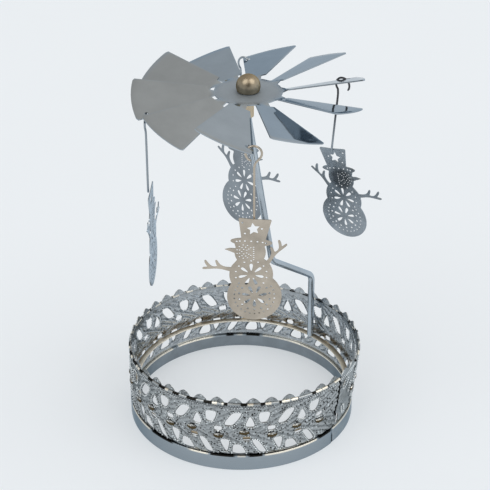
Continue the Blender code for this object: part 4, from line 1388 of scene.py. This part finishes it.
def rim_point(index, place, radius):
    """A point of the hub's disc, from one edge of a blade's neck (-1) to the other (+1)."""
    rotor = settings("rotor")
    half = math.asin(rotor.neck_width / 2 / rotor.hub_radius)
    angle = rotor.phase + FULL_TURN * index / BLADES + place * half
    return Vector((radius * math.cos(angle), radius * math.sin(angle), 0.0))


def blade_vertex(index, row, place):
    """A blade's grid: the neck's root, its end, the shoulder and then even rows to the tip."""
    rotor = settings("rotor")
    neck_end = rotor.hub_radius + rotor.neck_length
    root = rim_point(index, place, rotor.hub_radius)
    end = blade_point(index, neck_end, place * rotor.neck_width / 2)
    if row <= NECK_ROW:
        return root.lerp(end, row / NECK_ROW)
    start = neck_end + rotor.shoulder
    first = NECK_ROW + 1
    radius = start + (rotor.radius - start) * (row - first) / (TIP_ROW - first)
    if row == TIP_ROW:
        radius -= CORNER_CUT * max(0.0, abs(place) - CORNER_START) / (1 - CORNER_START)
    angle = place * rotor.half_angle
    return blade_point(index, radius * math.cos(angle), radius * math.sin(angle))


class SPINNER_OT_fan(bpy.types.Operator):
    """Hub disc and hand-bent blades in one bright sheet"""

    bl_idname = "spinner.fan"
    bl_label = "Fan"

    def execute(self, context):
        rotor = settings("rotor")
        sizes = settings("hanger")
        half = math.asin(rotor.neck_width / 2 / rotor.hub_radius)
        between = math.pi / BLADES / half
        around = BLADE_COLUMNS + [1.0 + (between - 1.0) * k / 2 for k in (1, 2, 3)]
        bm = bmesh.new()

        def skin(rows):
            for low, high in zip(rows, rows[1:]):
                for k in range(len(low) - 1):
                    bm.faces.new((low[k], high[k], high[k + 1], low[k + 1]))

        rings = []
        for reach in (rotor.hub_hole, *HUB_RINGS, rotor.hub_radius):
            points = [rim_point(index, place, reach) for index in range(BLADES) for place in around]
            ring = [bm.verts.new(point) for point in points]
            rings.append(ring + ring[:1])
        skin(rings)
        for index in range(BLADES):
            grid = []
            for row in range(TIP_ROW + 1):
                grid.append([bm.verts.new(blade_vertex(index, row, place)) for place in BLADE_COLUMNS])
            skin(grid)
        bmesh.ops.remove_doubles(bm, verts=bm.verts, dist=WELD)
        for vertex in bm.verts:
            wave = noise.noise(vertex.co * 90.0) + 0.5 * noise.noise(vertex.co * 210.0)
            vertex.co.z += rotor.ripple * wave
        bmesh.ops.translate(bm, verts=bm.verts, vec=HUB)
        maker = link("fan_maker", mesh_from(bm, "fan"))
        sheet = maker.modifiers.new("sheet", "SOLIDIFY")
        sheet.thickness = rotor.sheet
        sheet.offset = 0.0
        ease = maker.modifiers.new("ease", "BEVEL")
        ease.width = 0.00010
        ease.segments = 2
        ease.angle_limit = math.radians(50.0)
        cutters = []
        for name, (blade, *_) in HANGERS.items():
            cutters.append(hole_cutter(blade, sizes.tight_hole if name == "left" else sizes.hole))
            if name in WORN_HOLES:
                cutters.append(hole_cutter(blade, sizes.worn_hole, WORN_HOLES[name]))
        for cutter in cutters:
            maker.modifiers.new("hole", "BOOLEAN").object = cutter
        fan = plain(maker, "fan")
        for cutter in cutters:
            bpy.data.objects.remove(cutter)
        smooth(fan.data, 25.0)
        fan.data.materials.clear()
        tint = settings("finish").nickel
        handled = (HUB, 1.1 * rotor.hub_radius, 0.60)
        metal = plate("fan_plate", tint, (0.045, 0.10), 420.0, 0.015, contrast=0.05, dull=handled)
        fan.data.materials.append(metal)
        wear(fan, "rotor", "fan_wheel", "fan_wheel")
        return {"FINISHED"}


def hole_cutter(blade, radius, shift=(0.0, 0.0)):
    """A round bar through a blade where its hook hangs."""
    rotor = settings("rotor")
    sizes = settings("hanger")
    reach = sizes.reach * math.cos(rotor.half_angle) + sizes.hole_inset * math.sin(rotor.half_angle)
    offset = sizes.reach * math.sin(rotor.half_angle) - sizes.hole_inset * math.cos(rotor.half_angle)
    turned = blade_frame(blade)[3].to_track_quat("Z", "Y").to_matrix().to_4x4()
    place = Matrix.Translation(HUB + blade_point(blade, reach + shift[0], offset + shift[1])) @ turned
    bm = bmesh.new()
    bmesh.ops.create_cone(
        bm, cap_ends=True, segments=28, radius1=radius, radius2=radius, depth=8 * rotor.sheet
    )
    bm.transform(place)
    return link("hole_cutter", mesh_from(bm, "hole_cutter"))


class SPINNER_OT_hub(bpy.types.Operator):
    """Ball on the fan and the bearing sleeve below it"""

    bl_idname = "spinner.hub"
    bl_label = "Hub"

    def execute(self, context):
        rotor = settings("rotor")
        tint = settings("finish").champagne
        flat = rotor.sheet / 2 + rotor.seat_gap
        low = math.asin((flat - rotor.ball_lift) / rotor.ball_radius)
        rim = arc((0.0, rotor.ball_lift), rotor.ball_radius, math.pi / 2, low, 28)
        rim[0] = (0.0, rotor.ball_lift + rotor.ball_radius)
        profile = [(r, HUB.z + z) for r, z in rim + [(0.0, flat)]]
        ball = lathe("ball", profile, round_angles(64), (HUB.x, HUB.y))
        # A darkened copy of the sleeve's champagne: painted shade on the ball
        brass = plate("ball_plate", shaded(tint, 0.72), (0.24, 0.34), 260.0, 0.05, contrast=0.3)
        ball.data.materials.append(brass)
        wear(ball, "rotor", "hub_ball", "hub_ball")

        top = -rotor.sheet / 2 - rotor.seat_gap
        bottom = top - rotor.sleeve_length
        wall, bore = rotor.sleeve_radius, rotor.bore_radius
        upper = [(0.0, top), (wall - SLEEVE_EASE, top), (wall, top - SLEEVE_EASE)]
        lower = [(wall, bottom + SLEEVE_EASE), (wall - SLEEVE_EASE, bottom), (bore, bottom)]
        cup = [(bore, top - CUP_EDGE), (0.0, top - CUP_MIDDLE)]
        profile = [(r, HUB.z + z) for r, z in upper + lower + cup]
        sleeve = lathe("sleeve", profile, round_angles(48), (HUB.x, HUB.y))
        sleeve.data.materials.append(plate("sleeve_plate", tint, (0.16, 0.30)))
        wear(sleeve, "rotor", "hub_sleeve", "hub_sleeve")
        return {"FINISHED"}


def swing_frame(name):
    """The frame of a hook's loop: X across the charm, -Y outwards and Z up the wire."""
    joint = JOINTS["swing_" + name]
    facing = math.atan2(joint["axis"][1], joint["axis"][0])
    lean = math.radians(HANGERS[name][1])
    turned = Matrix.Rotation(facing + math.pi / 2, 4, "Z") @ Matrix.Rotation(-lean, 4, "Y")
    return Matrix.Translation(joint["pos_m"]) @ turned


class SPINNER_OT_hooks(bpy.types.Operator):
    """Wire hooks through the blades"""

    bl_idname = "spinner.hooks"
    bl_label = "Hooks"

    def execute(self, context):
        sizes = settings("hanger")
        finish = settings("finish")
        for name, (_, _, offset, length, *_) in HANGERS.items():
            start = sizes.loop_open if name != "front" else sizes.loop_shut
            drop = LOW_LOOPS.get(name, 0.0)
            loop = arc((0.0, -drop), sizes.loop, start, sizes.loop_close, 44)
            low = -drop - sizes.loop - sizes.kink
            stem = [(offset, low), (offset, low - KINK_EASE), (offset, -length - sizes.lap)]
            tail = cut_corners([loop[-1]] + stem[:2], 2)
            path = [Vector((x, 0.0, z)) for x, z in loop[:-1] + tail + stem[2:]]
            path, shares = round_tips(path, sizes.wire)
            frame_here = swing_frame(name)
            path = [frame_here @ point for point in path]
            hook = sweep("hook_" + name + "_wire", path, sizes.wire, shares, 3)
            tint = finish.beige if name == "front" else shaded(finish.nickel, 0.85)
            # Painted shade on this hook's loop
            if name in SHADED_HOOK_LOOPS:
                tone, loops_down = SHADED_HOOK_LOOPS[name]
                loop_foot = frame_here.translation.z - loops_down * sizes.loop
                painted_tones = [tone if vertex.co.z > loop_foot else 0.5 for vertex in hook.data.vertices]
                set_values(hook.data, "painted_light", painted_tones)
                metal = painted_light_plate("hook_" + name + "_plate", tint, finish.painted_wire_shade, finish.painted_light)
            else:
                metal = plate("hook_" + name + "_plate", tint, (0.14, 0.26))
            hook.data.materials.append(metal)
            wear(hook, "hanger_" + name, "hook_wire", "hook_" + name)
        return {"FINISHED"}


def ellipse(centre, half_width, half_height, start, end, number):
    return [
        (centre[0] + half_width * x, centre[1] + half_height * y)
        for x, y in arc((0.0, 0.0), 1.0, start, end, number)
    ]


def crossing(centre, radius, other, other_radius, side):
    """Angle on the first circle where the other one crosses it, on its left (+1) or right (-1)."""
    across = Vector(other) - Vector(centre)
    gap = across.length
    part = (gap * gap + radius * radius - other_radius * other_radius) / (2 * gap * radius)
    return math.atan2(across.y, across.x) - side * math.acos(part)


# The snowman's head, chest and base: middle and radius; then the hat's brim: middle and half sizes
HEAD = ((-0.0016, -0.0153), 0.0063)
CHEST = ((-0.0012, -0.0257), 0.0089)
BASE = ((0.0001, -0.0359), 0.0112)
BRIM = ((-0.0007, -0.0106), 0.0084, 0.0018)
HAT_TURN = math.radians(-4.5)
HAT_FOOT = 0.0049
NOSE_SHAPE = ((0.0020, 0.0005), (0.0041, 0.0), (0.0020, -0.0009))
ARM_LENGTH = 0.0114


def twig(root, direction, side):
    """A twig arm from a place on the chest, with its branches on one side."""
    along = Vector((math.cos(direction), math.sin(direction)))
    across = Vector((-along.y, along.x)) * side
    points = [Vector(root) + (along * a + across * c) * ARM_LENGTH for a, c in TWIG_SHAPE]
    return cut_corners([tuple(point) for point in points], 1)


def cocked(points):
    """Points of the hat, turned with it."""
    middle = Vector((0.0, BRIM[0][1] / 2))
    spin = Matrix.Rotation(HAT_TURN, 2)
    return [tuple(middle + spin @ (Vector(point) - middle)) for point in points]


def snowman_outline():
    """Hat, brim, face with a nose, chest with two twig arms and base, counter-clockwise."""
    neck_left = crossing(*HEAD, *CHEST, 1) % FULL_TURN
    neck_right = crossing(*HEAD, *CHEST, -1)
    waist_left = crossing(*CHEST, *BASE, 1) % FULL_TURN
    waist_right = crossing(*CHEST, *BASE, -1)
    base_left = crossing(*BASE, *CHEST, -1)
    base_right = crossing(*BASE, *CHEST, 1) + FULL_TURN
    arm_left, arm_right, half_root = math.radians(163.0), math.radians(40.0), math.radians(5.8)
    hat_left, hat_right = [math.acos((x - BRIM[0][0]) / BRIM[1]) for x in (-HAT_FOOT, HAT_FOOT)]
    nose_x, nose_y = on_circle(*HEAD, math.radians(166.0))
    left_arm = twig(on_circle(*CHEST, arm_left), math.radians(178.0), -1)
    right_arm = twig(on_circle(*CHEST, arm_right), math.radians(47.0), 1)
    outline = cocked([(0.0, -0.0002), (-0.0062, 0.0), (-0.0066, -0.0004)])
    outline += cocked(ellipse(*BRIM, hat_left, math.radians(216.0), 20))
    outline += arc(*HEAD, math.radians(158.0), math.radians(163.0), 3)
    outline += [(nose_x - x, nose_y + y) for x, y in NOSE_SHAPE]
    outline += arc(*HEAD, math.radians(182.0), neck_left, 12)
    outline += arc(*CHEST, arm_left - 2 * half_root, arm_left - half_root, 3)
    outline += left_arm
    outline += arc(*CHEST, arm_left + half_root, waist_left, 18)
    outline += arc(*BASE, base_left, base_right, 60)[1:-1]
    outline += arc(*CHEST, waist_right, arm_right - half_root, 18)
    outline += right_arm[::-1]
    outline += arc(*CHEST, arm_right + half_root, arm_right + 2 * half_root, 3)
    outline += arc(*HEAD, neck_right, math.radians(22.0), 14)
    outline += cocked(ellipse(*BRIM, math.radians(-48.0), hat_right, 20))
    outline += cocked([(0.0066, -0.0004), (0.0062, 0.0)])
    return outline


def snowman_dots():
    """Small round holes: place and radius."""
    dots = [(x, y, 0.00046) for x, y in ((-0.0047, -0.0017), (0.0031, -0.0046), (-0.0037, -0.0067))]
    for step in range(7):
        angle = math.radians(163.0 - 24.0 * step)
        x, y = ellipse((BRIM[0][0], BRIM[0][1] - 0.0004), 0.0062, 0.0007, angle, angle, 2)[0]
        dots.append((*cocked([(x, y)])[0], 0.00043))
    for ring, number in ((0.0011, 5), (0.0021, 8), (0.0031, 10)):
        for x, y in arc((-0.0039, -0.0150), ring, math.radians(35.0), math.radians(325.0), number):
            dots.append((x, y, 0.00034))
    dots += [(-0.0002, -0.0130 - 0.00095 * step, 0.00034) for step in range(7)]
    for centre, radius, number, hole in (
        (CHEST[0], 0.0064, 14, 0.00043),
        (BASE[0], 0.0064, 14, 0.00050),
        (BASE[0], 0.0083, 26, 0.00042),
    ):
        for step in range(number):
            angle = FULL_TURN * (step + 0.5) / number
            if centre is BASE[0] and math.sin(angle) > 0.72:
                continue
            if centre is CHEST[0] and math.sin(angle) < -0.75:
                continue
            dots.append((*on_circle(centre, radius, angle), hole))
    return dots


def loop_mesh(name, loops):
    """Closed loops of edges in the XY plane."""
    points, edges = joined_loops(loops)
    return new_mesh(name, [(*point, 0.0) for point in points], edges)


def star_loop(radius):
    points = []
    for index in range(10):
        angle = math.pi / 2 + math.radians(8.0) + math.pi * index / 5
        reach = radius * (0.50 if index % 2 else 1.0)
        points.append(on_circle((-0.0003, -0.0046), reach, angle))
    return points


def petal_loop(sizes):
    """A teardrop along +X with its narrow end inwards."""
    length = sizes.petal_end - sizes.petal_start
    points = []
    for index in range(18):
        angle = FULL_TURN * index / 18
        along = 0.5 - 0.5 * math.cos(angle)
        swell = fuller(math.sin(angle), 0.75) * (0.3 + 0.75 * along)
        points.append((sizes.petal_start + along * length, sizes.petal_width / 2 * swell))
    return points


class SPINNER_OT_charms(bpy.types.Operator):
    """Pierced snowman charms on the hooks"""

    bl_idname = "spinner.charms"
    bl_label = "Charms"

    def execute(self, context):
        sizes = settings("hanger")
        finish = settings("finish")
        petal = link("petal", loop_mesh("petal", [petal_loop(sizes)]))
        turns = [(*CHEST[0], 0.0, math.pi / 2), (*BASE[0], 0.0, -math.pi / 2)]
        flowers = link("flowers", marks_mesh("flowers", turns))
        places = [(x, y, 0.0, radius) for x, y, radius in snowman_dots()]
        dots = link("dots", marks_mesh("dots", places))
        shapes = {"Petal": petal, "Flowers": flowers, "Dots": dots}
        values = {**shapes, "Petals": sizes.petals, "Sheet": sizes.sheet}
        tree = pierced_tree()
        # Lit and shaded copies of the nickel on the back, right and left charms: painted light; the front
        # charm keeps its own beige
        painted_light_tints = {
            "front": finish.beige,
            "back": shaded(finish.nickel, 0.66),
            "right": shaded(finish.nickel, 0.96),
            "left": shaded(finish.nickel, 1.20),
        }
        for name, (_, _, offset, length, side, tilt, pitch) in HANGERS.items():
            outline = loop_mesh("snowman", [snowman_outline(), star_loop(sizes.star)])
            place = Matrix.Translation((offset, -side * sizes.stand_off, -length))
            pitched = Matrix.Rotation(math.radians(pitch), 4, "X")
            lean = pitched @ Matrix.Rotation(-math.radians(tilt), 4, "Y")
            centred = Matrix.Translation((0.0, 0.0, -sizes.sheet / 2))
            upright = Matrix.Rotation(math.pi / 2, 4, "X") @ centred
            hung = swing_frame(name) @ place @ lean @ upright
            face = hung @ Vector((*HEAD[0], 0.0))
            tint = painted_light_tints[name]
            # The right charm is darkened in a ragged patch round its face
            dark_patch = (face, HEAD[1], shaded(tint, 0.35)) if name == "right" else None
            label = "charm_" + name
            metal = plate(label + "_plate", tint, (0.14, 0.30), 500.0, 0.06, contrast=0.2, dark_patch=dark_patch)
            charm = run_nodes(label, outline, tree, {**values, "Material": metal})
            charm.data.transform(hung)
            face_outwards(charm.data)
            wear(charm, "hanger_" + name, "charm_sheet", "snowman_" + name)
        for helper in shapes.values():
            bpy.data.objects.remove(helper)
        return {"FINISHED"}


class SPINNER_OT_stage(bpy.types.Operator):
    """Pale floor, soft light and the camera"""

    bl_idname = "spinner.stage"
    bl_label = "Stage"

    def execute(self, context):
        stage = settings("stage")
        self.floor(stage)
        self.world(stage)
        self.lamp("left_light", (-0.55, -0.45, 1.0), stage.key, stage.spread)
        self.lamp("right_light", (0.65, -0.30, 1.0), stage.fill, stage.spread)
        self.camera(stage)
        context.scene.view_settings.view_transform = "Standard"
        return {"FINISHED"}

    def floor(self, stage):
        reach = 12.0
        corners = [(reach * x, reach * y, 0.0) for x, y in ((-1, -1), (1, -1), (1, 1), (-1, 1))]
        mesh = new_mesh("floor", corners, faces=[(0, 1, 2, 3)])
        floor = link("floor", mesh)
        material, graph, shader, place = add_material("floor_paint")
        clouds = noise_at(graph, place, 3.0)
        tone = ramp(graph, clouds, shaded(stage.floor, 0.985), shaded(stage.floor, 1.01), (0.3, 0.7))
        graph.fill(shader.inputs["Base Color"], tone)
        shader.inputs["Roughness"].default_value = 0.75
        shader.inputs["Specular IOR Level"].default_value = 0.2
        rays = graph.tree.nodes.new("ShaderNodeLightPath").outputs
        looks = graph.math("MAXIMUM", rays["Is Camera Ray"], rays["Is Glossy Ray"])
        looks = graph.math("MAXIMUM", looks, rays["Is Transmission Ray"])
        pale = graph.add("ShaderNodeEmission", (*stage.backdrop, 1.0))
        lifted = graph.math("MULTIPLY", looks, stage.lift)
        seen = graph.add("ShaderNodeMixShader", lifted, shader.outputs[0], pale)
        sink = graph.tree.nodes["Material Output"]
        graph.fill(sink.inputs["Surface"], seen)
        mesh.materials.append(material)

    def world(self, stage):
        world = bpy.data.worlds.new("studio")
        bpy.context.scene.world = world
        world.use_nodes = True
        graph = Graph(world.node_tree)
        ray = graph.add("ShaderNodeTexCoord", output="Generated")
        side = graph.add("ShaderNodeSeparateXYZ", ray, output="X")
        sky = ramp(graph, side.node.outputs["Z"], stage.horizon, stage.overhead, (0.20, 0.80))
        tilt = graph.span(side, -0.5, 0.5, 0.93, 1.25)
        sky = graph.add("ShaderNodeVectorMath", sky, operation="SCALE", Scale=tilt)
        behind = (0.0, -0.88, 0.47)
        toward = graph.add("ShaderNodeVectorMath", ray, behind, operation="DOT_PRODUCT", output="Value")
        patch = graph.span(toward, 0.90, 0.97, 0.0, 1.0)
        lit = mixed(graph, patch, sky, stage.shade)
        background = graph.tree.nodes["Background"]
        shown = mixed(graph, graph.add("ShaderNodeLightPath", output="Is Camera Ray"), lit, stage.backdrop)
        graph.fill(background.inputs["Color"], shown)
        background.inputs["Strength"].default_value = 1.0

    def lamp(self, name, place, strength, spread):
        light = bpy.data.lights.new(name, "SUN")
        light.energy = strength
        light.angle = spread
        lamp = link(name, light)
        lamp.location = place
        lamp.rotation_euler = (-Vector(place)).to_track_quat("-Z", "Y").to_euler()

    def camera(self, stage):
        data = bpy.data.cameras.new("camera")
        data.lens = stage.lens
        data.sensor_width = 36.0
        camera = link("camera", data)
        dip, swing, roll = stage.dip, stage.swing, stage.roll
        level = Vector((math.sin(swing), math.cos(swing), 0.0))
        ahead = level * math.cos(dip) - UP * math.sin(dip)
        right = Vector((math.cos(swing), -math.sin(swing), 0.0))
        above = right.cross(ahead)
        across = right * math.cos(roll) + above * math.sin(roll)
        upward = above * math.cos(roll) - right * math.sin(roll)
        axes = Matrix((across, upward, -ahead)).transposed().to_4x4()
        camera.matrix_world = Matrix.Translation(stage.eye) @ axes
        bpy.context.scene.camera = camera


class SPINNER_PT_panel(bpy.types.Panel):
    """Buttons that make each piece of the spinner"""

    bl_idname = "SPINNER_PT_panel"
    bl_label = "Jar Candle Spinner"
    bl_space_type = "VIEW_3D"
    bl_region_type = "UI"
    bl_category = "Spinner"

    def draw(self, context):
        for operator in OPERATORS:
            self.layout.operator(operator.bl_idname)


GROUPS = {
    "collar": CollarSettings,
    "rotor": RotorSettings,
    "hanger": HangerSettings,
    "finish": FinishSettings,
    "stage": StageSettings,
}
OPERATORS = (
    SPINNER_OT_rim,
    SPINNER_OT_band,
    SPINNER_OT_ledge,
    SPINNER_OT_post,
    SPINNER_OT_fan,
    SPINNER_OT_hub,
    SPINNER_OT_hooks,
    SPINNER_OT_charms,
    SPINNER_OT_stage,
)


def register():
    for cls in (*GROUPS.values(), *OPERATORS, SPINNER_PT_panel):
        bpy.utils.register_class(cls)
    for name, cls in GROUPS.items():
        setattr(bpy.types.Scene, "spinner_" + name, PointerProperty(type=cls))


def unregister():
    for name in GROUPS:
        delattr(bpy.types.Scene, "spinner_" + name)
    for cls in reversed((*GROUPS.values(), *OPERATORS, SPINNER_PT_panel)):
        bpy.utils.unregister_class(cls)


def main():
    register()
    bpy.ops.spinner.rim()
    bpy.ops.spinner.band()
    bpy.ops.spinner.ledge()
    bpy.ops.spinner.post()
    bpy.ops.spinner.fan()
    bpy.ops.spinner.hub()
    bpy.ops.spinner.hooks()
    bpy.ops.spinner.charms()
    bpy.ops.spinner.stage()


if __name__ == "__main__":
    main()
